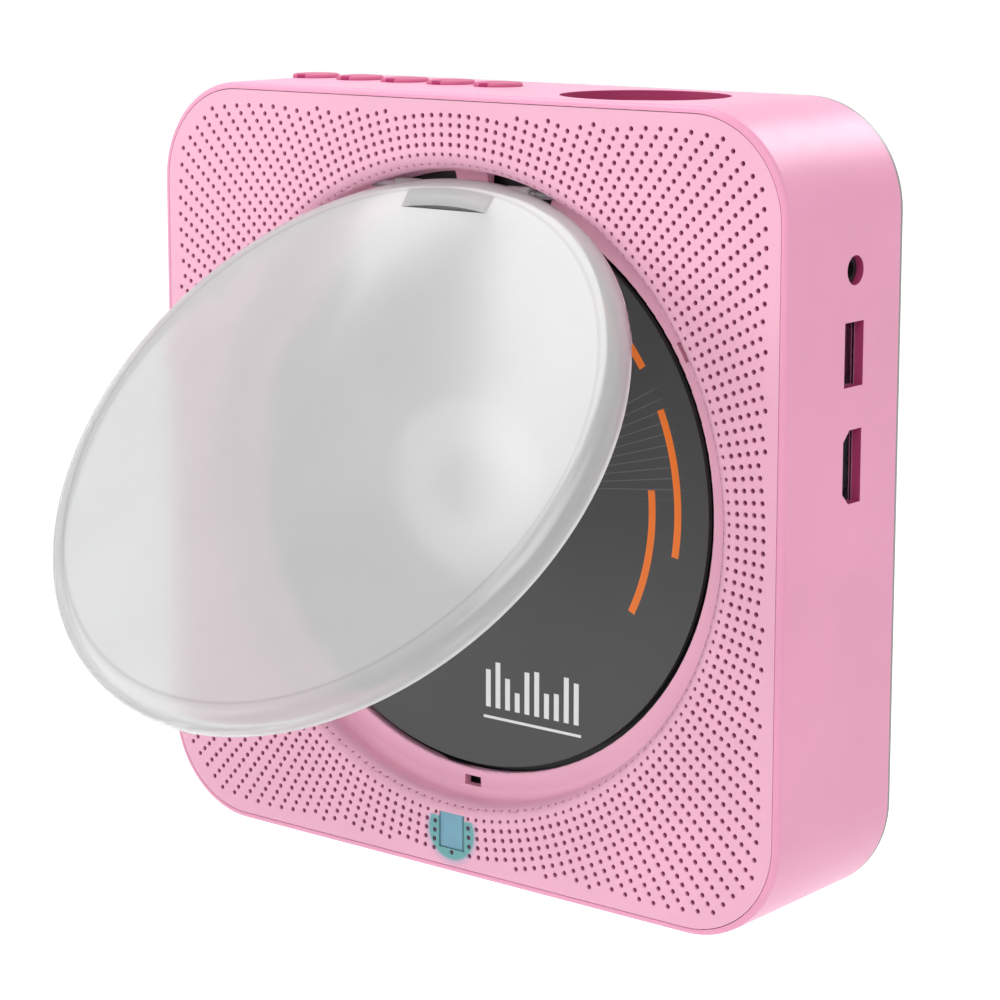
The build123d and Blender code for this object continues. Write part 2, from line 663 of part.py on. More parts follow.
# ---------------------------------------------------------------- disc tray and disc
with BuildPart() as disc_tray:
    with BuildSketch(at_depth(TRAY_DEPTH)):
        Circle(TRAY_R)
        Circle(TRAY_HUB_R, mode=Mode.SUBTRACT)
        # pickup slot, open into the middle
        slot_left = LENS_X - SLED_TRAVEL - PICKUP_SLOT_W / 2 - LENS_DOME
        slot_right = -TRAY_HUB_R / 2
        with Locations(((slot_left + slot_right) / 2, 0)):
            SlotOverall(slot_right - slot_left, PICKUP_SLOT_W, mode=Mode.SUBTRACT)
    extrude(amount=-TRAY_T)
    # upstand under the ledge
    with BuildSketch(at_depth(RING_DEPTH)):
        Circle(WELL_R + TRAY_RING_T)
        Circle(WELL_R, mode=Mode.SUBTRACT)
    extrude(amount=-(TRAY_DEPTH - RING_DEPTH))
    # bosses that carry the chassis dampers
    damper_points = [(x, z) for x in DAMPER_X for z in (DAMPER_Z, -DAMPER_Z)]
    with BuildSketch(at_depth(TRAY_REAR)):
        with Locations(*damper_points):
            Circle(DAMPER_BORE_R)
    extrude(amount=-(2 * DAMPER_FLANGE_T + CHASSIS_T))
    with BuildSketch(at_depth(TRAY_REAR)):
        with Locations(*damper_points):
            Circle(DAMPER_SCREW_R)
    extrude(amount=-(2 * DAMPER_FLANGE_T + CHASSIS_T), mode=Mode.SUBTRACT)
save(disc_tray, "disc_tray")

with BuildPart() as disc:
    with BuildSketch(at_depth(DISC_DEPTH)):
        Circle(DISC_R)
        Circle(DISC_HOLE_R, mode=Mode.SUBTRACT)
    extrude(amount=-DISC_T)
save(disc, "disc")

# ---------------------------------------------------------------- spindle
with BuildPart() as turntable:
    with BuildSketch(at_depth(TURNTABLE_DEPTH)):
        Circle(TURNTABLE_R)
    extrude(amount=-TURNTABLE_T)
    with BuildSketch(at_depth(TURNTABLE_DEPTH + TURNTABLE_T)):
        Circle(TURNTABLE_BOSS_R)
    extrude(amount=-TURNTABLE_BOSS_T)
    with BuildSketch(at_depth(TURNTABLE_DEPTH)):
        Circle(SPINDLE_R)
    extrude(amount=-(TURNTABLE_T + TURNTABLE_BOSS_T), mode=Mode.SUBTRACT)
save(turntable, "turntable")

with BuildPart() as turntable_pad:
    with BuildSketch(at_depth(DISC_REAR)):
        Circle(TURNTABLE_R)
        Circle(PAD_INNER_R, mode=Mode.SUBTRACT)
    extrude(amount=-PAD_T)
save(turntable_pad, "turntable_pad")

ball_points = [polar_point(BALL_CIRCLE_R, 90 + 360 * n / BALL_COUNT) for n in range(BALL_COUNT)]
with BuildPart() as disc_hub:
    with BuildSketch(at_depth(TURNTABLE_DEPTH)):
        Circle(HUB_R)
    extrude(amount=HUB_HEIGHT + PAD_T)
    fillet(disc_hub.faces().sort_by(Axis.Y)[0].edges(), HUB_DOME_R)
    with BuildSketch(at_depth(TURNTABLE_DEPTH)):
        Circle(SPINDLE_R)
    extrude(amount=TURNTABLE_DEPTH - SPINDLE_DEPTH, mode=Mode.SUBTRACT)
    with Locations(*[(x, y_at(BALL_DEPTH), z) for x, z in ball_points]):
        Sphere(BALL_R, mode=Mode.SUBTRACT)
save(disc_hub, "disc_hub")

with BuildPart() as hub_balls:
    with Locations(*[(x, y_at(BALL_DEPTH), z) for x, z in ball_points]):
        Sphere(BALL_R)
save(hub_balls, "hub_balls")

with BuildPart() as spindle_shaft:
    with BuildSketch(at_depth(SPINDLE_DEPTH)):
        Circle(SPINDLE_R)
    extrude(amount=-SPINDLE_LENGTH)
save(spindle_shaft, "spindle_shaft")

with BuildPart() as spindle_motor:
    with BuildSketch(at_depth(CHASSIS_REAR)):
        Circle(MOTOR_R)
    extrude(amount=-MOTOR_T)
    with BuildSketch(at_depth(CHASSIS_REAR)):
        Circle(MOTOR_NECK_R)
    extrude(amount=CHASSIS_T)
    fillet(spindle_motor.faces().sort_by(Axis.Y)[-1].edges(), MOTOR_NECK_T)
    with BuildSketch(at_depth(CHASSIS_DEPTH)):
        Circle(SPINDLE_R + RUNNING_GAP)
    extrude(amount=-(SPINDLE_DEPTH + SPINDLE_LENGTH - CHASSIS_DEPTH + MOTOR_NECK_T), mode=Mode.SUBTRACT)
save(spindle_motor, "spindle_motor")

# ---------------------------------------------------------------- mechanism chassis
rod_post_points = [
    (x, z)
    for x in (ROD_LEFT + ROD_POST_W / 2, ROD_RIGHT - ROD_POST_W / 2)
    for z in (ROD_Z, -ROD_Z)
]
with BuildPart() as mech_chassis:
    chassis_width = CHASSIS_RIGHT - CHASSIS_LEFT
    motor_ear_bottom = SLED_MOTOR_Z - SLED_MOTOR_R
    with BuildSketch(at_depth(CHASSIS_DEPTH)):
        with Locations(((CHASSIS_RIGHT + CHASSIS_LEFT) / 2, 0)):
            RectangleRounded(chassis_width, 2 * CHASSIS_HALF_H, DAMPER_R)
        with Locations((SLED_MOTOR_X, (motor_ear_bottom - CHASSIS_HALF_H) / 2 + DAMPER_R)):
            RectangleRounded(2 * SLED_MOTOR_R, -motor_ear_bottom - CHASSIS_HALF_H + 2 * DAMPER_R, DAMPER_R)
        with Locations(((WINDOW_LEFT + WINDOW_RIGHT) / 2, 0)):
            Rectangle(WINDOW_RIGHT - WINDOW_LEFT, 2 * WINDOW_HALF_H, mode=Mode.SUBTRACT)
        Circle(MOTOR_NECK_R, mode=Mode.SUBTRACT)
        with Locations(*damper_points):
            Circle(DAMPER_NECK_R, mode=Mode.SUBTRACT)
        with Locations((SLED_MOTOR_X, SLED_MOTOR_Z)):
            Circle(MOTOR_NECK_R, mode=Mode.SUBTRACT)
    extrude(amount=-CHASSIS_T)
    # posts that hold the guide rods by their ends
    with BuildSketch(at_depth(CHASSIS_REAR)):
        with Locations(*rod_post_points):
            Rectangle(ROD_POST_W, ROD_POST_H)
    extrude(amount=-(ROD_POST_DEPTH - CHASSIS_REAR))
    with BuildSketch(Plane.YZ.offset(ROD_LEFT)):
        with Locations((y_at(ROD_DEPTH), ROD_Z), (y_at(ROD_DEPTH), -ROD_Z)):
            Circle(ROD_R)
    extrude(amount=ROD_RIGHT - ROD_LEFT, mode=Mode.SUBTRACT)
    # stud that the idler gear turns on
    with BuildSketch(at_depth(CHASSIS_REAR)):
        with Locations((GEAR_X, GEAR_Z)):
            Circle(GEAR_STUD_R)
    extrude(amount=-(WHEEL_DEPTH + WHEEL_T + RUNNING_GAP - CHASSIS_REAR))
    with BuildSketch(at_depth(CHASSIS_REAR)):
        with Locations((GEAR_X, GEAR_Z)):
            Circle(2 * GEAR_STUD_R)
    extrude(amount=-(PINION_DEPTH - CHASSIS_REAR - RUNNING_GAP))
save(mech_chassis, "mech_chassis")

with BuildPart() as guide_rods:
    with BuildSketch(Plane.YZ.offset(ROD_LEFT)):
        with Locations((y_at(ROD_DEPTH), ROD_Z), (y_at(ROD_DEPTH), -ROD_Z)):
            Circle(ROD_R)
    extrude(amount=ROD_RIGHT - ROD_LEFT)
save(guide_rods, "guide_rods")

with BuildPart() as chassis_dampers:
    for depth, radius, height in (
        (TRAY_REAR, DAMPER_R, DAMPER_FLANGE_T),
        (CHASSIS_DEPTH, DAMPER_NECK_R, CHASSIS_T),
        (CHASSIS_REAR, DAMPER_R, DAMPER_FLANGE_T),
    ):
        with BuildSketch(at_depth(depth)):
            with Locations(*damper_points):
                Circle(radius)
                Circle(DAMPER_BORE_R, mode=Mode.SUBTRACT)
        extrude(amount=-height)
save(chassis_dampers, "chassis_dampers")

with BuildPart() as chassis_screws:
    head_depth = TRAY_REAR + 2 * DAMPER_FLANGE_T + CHASSIS_T
    with BuildSketch(at_depth(head_depth)):
        with Locations(*damper_points):
            Circle(DAMPER_SCREW_HEAD_R)
    extrude(amount=-DAMPER_SCREW_HEAD_T)
    with BuildSketch(at_depth(head_depth)):
        with Locations(*damper_points):
            Circle(DAMPER_SCREW_R)
    extrude(amount=head_depth - TRAY_REAR)
save(chassis_screws, "chassis_screws")

# ---------------------------------------------------------------- pickup sled
with BuildPart() as pickup_sled:
    block_x = (SLED_LEFT + SLED_BLOCK_RIGHT) / 2
    carrier_x = (SLED_LEFT + SLED_CARRIER_RIGHT) / 2
    with BuildSketch(at_depth(SLED_TOP_DEPTH)):
        with Locations((block_x, 0)):
            Rectangle(SLED_BLOCK_RIGHT - SLED_LEFT, 2 * SLED_HALF_H)
    extrude(amount=-(SLED_BOTTOM_DEPTH - SLED_TOP_DEPTH))
    with BuildSketch(at_depth(SLED_CARRIER_TOP)):
        with Locations((carrier_x, 0)):
            Rectangle(SLED_CARRIER_RIGHT - SLED_LEFT, 2 * SLED_CARRIER_HALF_H)
    extrude(amount=-(SLED_CARRIER_BOTTOM - SLED_CARRIER_TOP))
    with BuildSketch(at_depth(LENS_HOLDER_DEPTH)):
        with Locations((LENS_X, 0)):
            Circle(LENS_HOLDER_R)
    extrude(amount=-(SLED_TOP_DEPTH - LENS_HOLDER_DEPTH))
    with BuildSketch(Plane.YZ.offset(SLED_LEFT)):
        with Locations((y_at(ROD_DEPTH), ROD_Z), (y_at(ROD_DEPTH), -ROD_Z)):
            Circle(ROD_R + RUNNING_GAP)
    extrude(amount=SLED_BLOCK_RIGHT - SLED_LEFT, mode=Mode.SUBTRACT)
save(pickup_sled, "pickup_sled")

with BuildPart() as pickup_lens:
    with BuildSketch(at_depth(LENS_HOLDER_DEPTH)):
        with Locations((LENS_X, 0)):
            Circle(LENS_R)
    extrude(amount=LENS_DOME)
    fillet(pickup_lens.faces().sort_by(Axis.Y)[0].edges(), 0.8 * LENS_DOME)
save(pickup_lens, "pickup_lens")

# ---------------------------------------------------------------- rack and gears
tooth_pitch = math.pi * GEAR_MODULE
rack_left = GEAR_X - 1.5 * tooth_pitch
rack_teeth = math.ceil(SLED_TRAVEL / tooth_pitch) + 3
with BuildPart() as sled_rack:
    rack_length = rack_teeth * tooth_pitch
    with BuildSketch(at_depth(RACK_DEPTH)):
        with Locations((rack_left + rack_length / 2, RACK_TOP_Z - RACK_BODY_H / 2 + GEAR_MODULE / 8)):
            Rectangle(rack_length, RACK_BODY_H - GEAR_MODULE / 4)
        with BuildLine():
            slope = math.tan(math.radians(PRESSURE_ANGLE))
            half_pitch = tooth_pitch / 4 - GEAR_BACKLASH / 2
            half_tip = half_pitch - GEAR_MODULE * slope
            half_root = half_pitch + 1.25 * GEAR_MODULE * slope
            tip_z = RACK_PITCH_Z - GEAR_MODULE
            root_z = RACK_PITCH_Z + 1.25 * GEAR_MODULE
            profile = [(rack_left, root_z + GEAR_MODULE / 4)]
            for tooth in range(rack_teeth):
                middle = rack_left + (tooth + 0.5) * tooth_pitch
                profile.append((middle - half_root, root_z))
                profile.append((middle - half_tip, tip_z))
                profile.append((middle + half_tip, tip_z))
                profile.append((middle + half_root, root_z))
            profile.append((rack_left + rack_length, root_z + GEAR_MODULE / 4))
            Polyline(*profile, close=True)
        make_face()
    extrude(amount=-RACK_T)
save(sled_rack, "sled_rack")

with BuildPart() as idler_gear:
    # a rack tooth lies over the gear's centre, so the pinion shows it a gap
    pinion_phase = 90 + 180 / PINION_TEETH
    with BuildSketch(at_depth(PINION_DEPTH)):
        with Locations((GEAR_X, GEAR_Z)):
            Circle(PINION_PITCH_R - 1.2 * GEAR_MODULE)
    extrude(amount=-(WHEEL_DEPTH - PINION_DEPTH))
    with BuildSketch(plane_about(PINION_DEPTH, GEAR_X, GEAR_Z)):
        add(gear_outline(PINION_TEETH, pinion_phase))
    extrude(amount=-PINION_T)
    with BuildSketch(plane_about(WHEEL_DEPTH, GEAR_X, GEAR_Z)):
        add(gear_outline(WHEEL_TEETH, SLED_MOTOR_BEARING))
    extrude(amount=-WHEEL_T)
    with BuildSketch(at_depth(PINION_DEPTH)):
        with Locations((GEAR_X, GEAR_Z)):
            Circle(GEAR_STUD_R + RUNNING_GAP)
    extrude(amount=-(WHEEL_DEPTH + WHEEL_T - PINION_DEPTH), mode=Mode.SUBTRACT)
save(idler_gear, "idler_gear")

with BuildPart() as gear_clip:
    with BuildSketch(at_depth(WHEEL_DEPTH + WHEEL_T + RUNNING_GAP)):
        with Locations((GEAR_X, GEAR_Z)):
            Circle(2 * GEAR_STUD_R)
    extrude(amount=-GEAR_STUD_R / 3)
save(gear_clip, "gear_clip")

with BuildPart() as sled_motor:
    with BuildSketch(at_depth(CHASSIS_REAR)):
        with Locations((SLED_MOTOR_X, SLED_MOTOR_Z)):
            Circle(SLED_MOTOR_R)
    extrude(amount=-SLED_MOTOR_T)
    with BuildSketch(at_depth(CHASSIS_REAR)):
        with Locations((SLED_MOTOR_X, SLED_MOTOR_Z)):
            Circle(MOTOR_NECK_R)
    extrude(amount=CHASSIS_T)
    with BuildSketch(at_depth(CHASSIS_REAR)):
        with Locations((SLED_MOTOR_X, SLED_MOTOR_Z)):
            Circle(SLED_MOTOR_SHAFT_R + RUNNING_GAP)
    extrude(amount=-SLED_MOTOR_T, mode=Mode.SUBTRACT)
save(sled_motor, "sled_motor")

with BuildPart() as sled_motor_pinion:
    with BuildSketch(at_depth(CHASSIS_REAR + RUNNING_GAP)):
        with Locations((SLED_MOTOR_X, SLED_MOTOR_Z)):
            Circle(SLED_MOTOR_SHAFT_R)
    extrude(amount=-(WHEEL_DEPTH + WHEEL_T - CHASSIS_REAR - RUNNING_GAP))
    with BuildSketch(plane_about(WHEEL_DEPTH, SLED_MOTOR_X, SLED_MOTOR_Z)):
        add(gear_outline(MOTOR_TEETH, SLED_MOTOR_BEARING + 180 + 180 / MOTOR_TEETH))
    extrude(amount=-WHEEL_T)
save(sled_motor_pinion, "sled_motor_pinion")


# ---------------------------------------------------------------- buttons
def make_button(name, x):
    """A round push button: a cap through the top wall, and two ears that keep it in."""
    centre = (x, y_at(BUTTON_DEPTH))
    with BuildPart() as button:
        with BuildSketch(Plane.XY.offset(BUTTON_BOTTOM)):
            with Locations(centre):
                Circle(BUTTON_R)
        extrude(amount=BUTTON_HEIGHT)
        fillet(button.faces().sort_by(Axis.Z)[-1].edges(), BUTTON_EDGE_R)
        with BuildSketch(Plane.XY.offset(TOP_INSIDE - BUTTON_EAR_DROP - BUTTON_EAR_T)):
            with Locations(centre):
                Rectangle(BUTTON_EAR_W, BUTTON_EAR_L)
        extrude(amount=BUTTON_EAR_T)
    save(button, name)


for button_name, button_x in zip(BUTTON_NAMES, BUTTON_X):
    make_button(button_name, button_x)

with BuildPart() as button_board:
    board_front = BUTTON_DEPTH - SWITCH_SIZE
    board_rear = BUTTON_POST_DEPTH + BUTTON_POST_R
    with BuildSketch(Plane.XY.offset(BUTTON_BOARD_TOP)):
        with Locations(((BUTTON_X[0] + BUTTON_X[-1]) / 2, y_at((board_front + board_rear) / 2))):
            Rectangle(BUTTON_X[-1] - BUTTON_X[0] + 2 * BUTTON_R, board_rear - board_front)
    extrude(amount=-BUTTON_BOARD_T)
save(button_board, "button_board")

with BuildPart() as tact_switches:
    switch_points = [(x, y_at(BUTTON_DEPTH)) for x in BUTTON_X]
    with BuildSketch(Plane.XY.offset(BUTTON_BOARD_TOP)):
        with Locations(*switch_points):
            Rectangle(SWITCH_SIZE, SWITCH_SIZE)
    extrude(amount=SWITCH_T)
    with BuildSketch(Plane.XY.offset(BUTTON_BOARD_TOP + SWITCH_T)):
        with Locations(*switch_points):
            Circle(SWITCH_PLUNGER_R)
    extrude(amount=SWITCH_PLUNGER_H)
save(tact_switches, "tact_switches")

with BuildPart() as top_well:
    well_centre = (TOP_WELL_X, y_at(TOP_WELL_DEPTH))
    with BuildSketch(Plane.XY.offset(TOP_INSIDE)):
        with Locations(well_centre):
            Ellipse(TOP_WELL_R + TOP_WELL_STRETCH + TOP_WELL_WALL, TOP_WELL_R + TOP_WELL_WALL)
    extrude(amount=-(TOP_WELL_H + TOP_WELL_FLOOR))
    with BuildSketch(Plane.XY.offset(TOP_INSIDE)):
        with Locations(well_centre):
            Ellipse(TOP_WELL_R + TOP_WELL_STRETCH, TOP_WELL_R)
    extrude(amount=-TOP_WELL_H, mode=Mode.SUBTRACT)
save(top_well, "top_well")

# ---------------------------------------------------------------- indicator and remote receiver
with BuildPart() as indicator_window:
    with BuildSketch(at_depth(WINDOW_SUNK)):
        with Locations((0, WINDOW_Z)):
            Rectangle(WINDOW_W - 2 * WINDOW_GAP, WINDOW_H - 2 * WINDOW_GAP)
    extrude(amount=-(PANEL_T - WINDOW_SUNK))
    with BuildSketch(at_depth(PANEL_T)):
        with Locations((0, WINDOW_Z)):
            Rectangle(WINDOW_W + 2 * WINDOW_FLANGE, WINDOW_H - 2 * WINDOW_GAP)
    extrude(amount=-LIP_T)
save(indicator_window, "indicator_window")

with BuildPart() as remote_receiver:
    with BuildSketch(at_depth(PANEL_T + LIP_T)):
        with Locations((0, WINDOW_Z)):
            Rectangle(RECEIVER_W, RECEIVER_W)
    extrude(amount=-RECEIVER_T)
save(remote_receiver, "remote_receiver")

with BuildPart() as indicator_board:
    with BuildSketch(at_depth(PANEL_T + LIP_T + RECEIVER_T)):
        with Locations((0, WINDOW_Z)):
            Rectangle(INDICATOR_BOARD_W, WINDOW_H)
    extrude(amount=-INDICATOR_BOARD_T)
save(indicator_board, "indicator_board")


# ---------------------------------------------------------------- loudspeakers
def make_speaker(name, side):
    """A small full range driver in a lower corner: pressed frame, paper cone and magnet."""
    axis_x = side * SPEAKER_XZ
    flange_front = PANEL_T + SPEAKER_SEAT_GAP
    flange_rear = flange_front + SPEAKER_FLANGE_T
    axis = Axis((axis_x, 0, -SPEAKER_XZ), (0, 1, 0))
    section = Plane((axis_x, 0, -SPEAKER_XZ), (1, 0, 0), (0, 0, 1))
    wide = SPEAKER_R - SPEAKER_FLANGE_T
    with BuildPart() as speaker_frame:
        with BuildSketch(section):
            with BuildLine():
                Polyline(
                    (wide, y_at(flange_front)),
                    (SPEAKER_R, y_at(flange_front)),
                    (SPEAKER_R, y_at(flange_rear)),
                    (wide, y_at(flange_rear)),
                    (SPEAKER_THROAT_R, y_at(SPEAKER_BASKET_DEPTH)),
                    (CONE_THROAT_R + CONE_T, y_at(SPEAKER_BASKET_DEPTH)),
                    (CONE_THROAT_R + CONE_T, y_at(SPEAKER_BASKET_DEPTH - SPEAKER_METAL_T)),
                    (SPEAKER_THROAT_R - SPEAKER_METAL_T, y_at(SPEAKER_BASKET_DEPTH - SPEAKER_METAL_T)),
                    (wide - SPEAKER_METAL_T, y_at(flange_rear)),
                    (wide - SPEAKER_METAL_T, y_at(flange_front)),
                    close=True,
                )
            make_face()
        revolve(axis=axis)
    save(speaker_frame, f"{name}_frame")
    with BuildPart() as speaker_cone:
        with BuildSketch(section):
            with BuildLine():
                throat = SPEAKER_BASKET_DEPTH - SPEAKER_METAL_T - CONE_T
                Polyline(
                    (wide - SPEAKER_METAL_T, y_at(flange_rear - CONE_T)),
                    (CONE_R - CONE_T, y_at(flange_rear - CONE_T)),
                    (CONE_THROAT_R, y_at(throat - CONE_T)),
                    (0, y_at(throat - 2 * CONE_T)),
                    (0, y_at(throat)),
                    (CONE_THROAT_R + CONE_T, y_at(throat)),
                    (CONE_R - CONE_T, y_at(flange_rear)),
                    (wide - SPEAKER_METAL_T, y_at(flange_rear)),
                    close=True,
                )
            make_face()
        revolve(axis=axis)
    save(speaker_cone, f"{name}_cone")
    with BuildPart() as speaker_magnet:
        with BuildSketch(at_depth(SPEAKER_BASKET_DEPTH)):
            with Locations((axis_x, -SPEAKER_XZ)):
                Circle(MAGNET_R)
        extrude(amount=-MAGNET_T)
    save(speaker_magnet, f"{name}_magnet")


make_speaker("left_speaker", -1)
make_speaker("right_speaker", 1)

# ---------------------------------------------------------------- main board
board_centre = ((BOARD_LEFT + BOARD_RIGHT) / 2, (BOARD_BOTTOM + BOARD_TOP) / 2)
BOARD_REAR = BOARD_DEPTH + BOARD_T
with BuildPart() as main_board:
    with BuildSketch(at_depth(BOARD_DEPTH)):
        with Locations(board_centre):
            Rectangle(BOARD_RIGHT - BOARD_LEFT, BOARD_TOP - BOARD_BOTTOM)
        with Locations(*STANDOFFS):
            Circle(BOARD_SCREW_R, mode=Mode.SUBTRACT)
    extrude(amount=-BOARD_T)
save(main_board, "main_board")

with BuildPart() as board_screws:
    with BuildSketch(at_depth(BOARD_DEPTH)):
        with Locations(*STANDOFFS):
            Circle(BOARD_SCREW_HEAD_R)
    extrude(amount=BOARD_SCREW_HEAD_T)
    with BuildSketch(at_depth(BOARD_DEPTH)):
        with Locations(*STANDOFFS):
            Circle(BOARD_SCREW_R)
    extrude(amount=-BOARD_SCREW_L)
save(board_screws, "board_screws")

with BuildPart() as board_chips:
    with BuildSketch(at_depth(BOARD_DEPTH)):
        with Locations((BOARD_RIGHT / 3, HDMI_Z), (BOARD_RIGHT / 2, USB_Z)):
            Rectangle(CHIP_SIZE, CHIP_SIZE)
    extrude(amount=CHIP_T)
save(board_chips, "board_chips")

with BuildPart() as board_capacitors:
    with BuildSketch(at_depth(BOARD_DEPTH)):
        with Locations((BOARD_RIGHT / 2, -HDMI_Z), (BOARD_RIGHT / 2, -USB_Z)):
            Circle(CAPACITOR_R)
    extrude(amount=CAPACITOR_H)
save(board_capacitors, "board_capacitors")

# ---------------------------------------------------------------- sockets
SOCKET_FACE_X = INNER_HALF - SOCKET_SETBACK


def socket_shell(name, z, width, height, length, corner=0.0):
    """A pressed metal socket shell with its mouth behind the opening in the right side."""
    centre = (y_at(PORT_DEPTH), z)
    with BuildPart() as shell:
        with BuildSketch(Plane.YZ.offset(SOCKET_FACE_X)):
            with Locations(centre):
                add(cut_corners(height, width, corner))
        extrude(amount=-length)
        with BuildSketch(Plane.YZ.offset(SOCKET_FACE_X)):
            with Locations(centre):
                add(cut_corners(height - 2 * SOCKET_METAL_T, width - 2 * SOCKET_METAL_T, corner))
        extrude(amount=-(length - SOCKET_METAL_T), mode=Mode.SUBTRACT)
    save(shell, name)


def socket_tongue(name, z, width, thickness, length):
    """The plastic tongue with the contacts, standing on the socket's back wall."""
    with BuildPart() as tongue:
        with BuildSketch(Plane.YZ.offset(SOCKET_FACE_X - length + SOCKET_METAL_T)):
            with Locations((y_at(PORT_DEPTH), z)):
                Rectangle(thickness, width)
        extrude(amount=0.75 * length)
    save(tongue, name)


socket_shell("usb_shell", USB_Z, USB_W, USB_T, USB_L)
socket_tongue("usb_tongue", USB_Z, USB_TONGUE_W, USB_TONGUE_T, USB_L)
socket_shell("hdmi_shell", HDMI_Z, HDMI_W, HDMI_T, HDMI_L, HDMI_CHAMFER)
socket_tongue("hdmi_tongue", HDMI_Z, HDMI_TONGUE_W, HDMI_TONGUE_T, HDMI_L)

with BuildPart() as audio_jack:
    jack_centre = (y_at(PORT_DEPTH), JACK_Z)
    with BuildSketch(Plane.YZ.offset(INNER_HALF)):
        with Locations(jack_centre):
            Rectangle(USB_T, JACK_BODY_H)
    extrude(amount=-JACK_BODY_L)
    with BuildSketch(Plane.YZ.offset(INNER_HALF)):
        with Locations(jack_centre):
            Circle(JACK_NOSE_R)
    extrude(amount=JACK_NOSE_L)
    with BuildSketch(Plane.YZ.offset(HALF)):
        with Locations(jack_centre):
            Circle(JACK_BORE_R)
    extrude(amount=-JACK_BODY_L, mode=Mode.SUBTRACT)
save(audio_jack, "audio_jack")

with BuildPart() as dc_inlet:
    inlet_centre = (DC_X, y_at(DC_DEPTH))
    with BuildSketch(Plane.XY.offset(-INNER_HALF)):
        with Locations(inlet_centre):
            Rectangle(DC_BODY_W, DC_BODY_T)
    extrude(amount=DC_BODY_L)
    with BuildSketch(Plane.XY.offset(-INNER_HALF)):
        with Locations(inlet_centre):
            Circle(DC_BORE_R)
            Circle(DC_PIN_R, mode=Mode.SUBTRACT)
    extrude(amount=0.75 * DC_BODY_L, mode=Mode.SUBTRACT)
save(dc_inlet, "dc_inlet")

# ---------------------------------------------------------------- rear cover
with BuildPart() as rear_cover:
    with BuildSketch(Plane.XZ):
        RectangleRounded(BODY_SIZE, BODY_SIZE, BODY_CORNER_R)
    extrude(amount=REAR_PLATE_T)
    # register that fits inside the shell
    register_size = 2 * (INNER_HALF - REGISTER_GAP)
    with BuildSketch(Plane.XZ.offset(REAR_PLATE_T)):
        RectangleRounded(register_size, register_size, INNER_R - REGISTER_GAP)
        RectangleRounded(
            register_size - 2 * REGISTER_T,
            register_size - 2 * REGISTER_T,
            INNER_R - REGISTER_GAP - REGISTER_T,
            mode=Mode.SUBTRACT,
        )
        with Locations((TOP_WELL_X, register_size / 2)):
            Rectangle(
                2 * (TOP_WELL_R + TOP_WELL_STRETCH + TOP_WELL_WALL), 4 * REGISTER_T, mode=Mode.SUBTRACT
            )
    extrude(amount=REGISTER_H)
    # walls and floor of the bracket pocket
    pocket_z = (POCKET_TOP + POCKET_BOTTOM) / 2
    pocket_h = POCKET_TOP - POCKET_BOTTOM
    with BuildSketch(Plane.XZ.offset(REAR_PLATE_T)):
        with Locations((0, pocket_z)):
            RectangleRounded(POCKET_W + 2 * POCKET_FLOOR_T, pocket_h + 2 * POCKET_FLOOR_T, BRACKET_CORNER_R)
    extrude(amount=-FLOOR_FRONT_Y - REAR_PLATE_T)
    # screw bosses and board standoffs
    with BuildSketch(Plane.XZ.offset(REAR_PLATE_T)):
        with GridLocations(2 * POST_XZ, 2 * POST_XZ, 2, 2):
            Circle(COVER_BOSS_R)
    extrude(amount=COVER_BOSS_T)
    with BuildSketch(Plane.XZ.offset(REAR_PLATE_T)):
        with Locations(*STANDOFFS):
            Circle(STANDOFF_R)
    extrude(amount=BODY_DEPTH - BOARD_REAR - REAR_PLATE_T)
    # pocket, keyholes, screw holes and vents
    with BuildSketch(Plane.XZ):
        with Locations((0, pocket_z)):
            RectangleRounded(POCKET_W, pocket_h, BRACKET_CORNER_R)
    extrude(amount=POCKET_DEPTH, mode=Mode.SUBTRACT)
    with BuildSketch(Plane.XZ):
        for side in (1, -1):
            stud_x = side * STUD_SPACING / 2
            slot_half_w = STUD_R + KEYHOLE_GAP
            with Locations((stud_x, STUD_Z - KEYHOLE_DROP)):
                Circle(KEYHOLE_ENTRY_R)
            with Locations((stud_x, STUD_Z - KEYHOLE_DROP / 2)):
                Rectangle(2 * slot_half_w, KEYHOLE_DROP)
            with Locations((stud_x, STUD_Z)):
                Circle(slot_half_w)
    extrude(amount=-FLOOR_FRONT_Y, mode=Mode.SUBTRACT)
    with BuildSketch(Plane.XZ):
        with GridLocations(2 * POST_XZ, 2 * POST_XZ, 2, 2):
            Circle(SCREW_R)
    extrude(amount=REAR_PLATE_T + COVER_BOSS_T, mode=Mode.SUBTRACT)
    with BuildSketch(Plane.XZ):
        with GridLocations(2 * POST_XZ, 2 * POST_XZ, 2, 2):
            Circle(SCREW_HEAD_R + REGISTER_GAP)
    extrude(amount=SCREW_HEAD_T + REGISTER_GAP, mode=Mode.SUBTRACT)
    with BuildSketch(Plane.XZ):
        with Locations((VENT_X, VENT_Z), (VENT_X, -VENT_Z)):
            with GridLocations(0, VENT_PITCH, 1, VENT_COUNT):
                SlotOverall(VENT_L, VENT_W)
    extrude(amount=REAR_PLATE_T, mode=Mode.SUBTRACT)
    with BuildSketch(at_depth(BOARD_REAR)):
        with Locations(*STANDOFFS):
            Circle(BOARD_SCREW_R)
    extrude(amount=-(BOARD_SCREW_L - BOARD_T), mode=Mode.SUBTRACT)
save(rear_cover, "rear_cover")

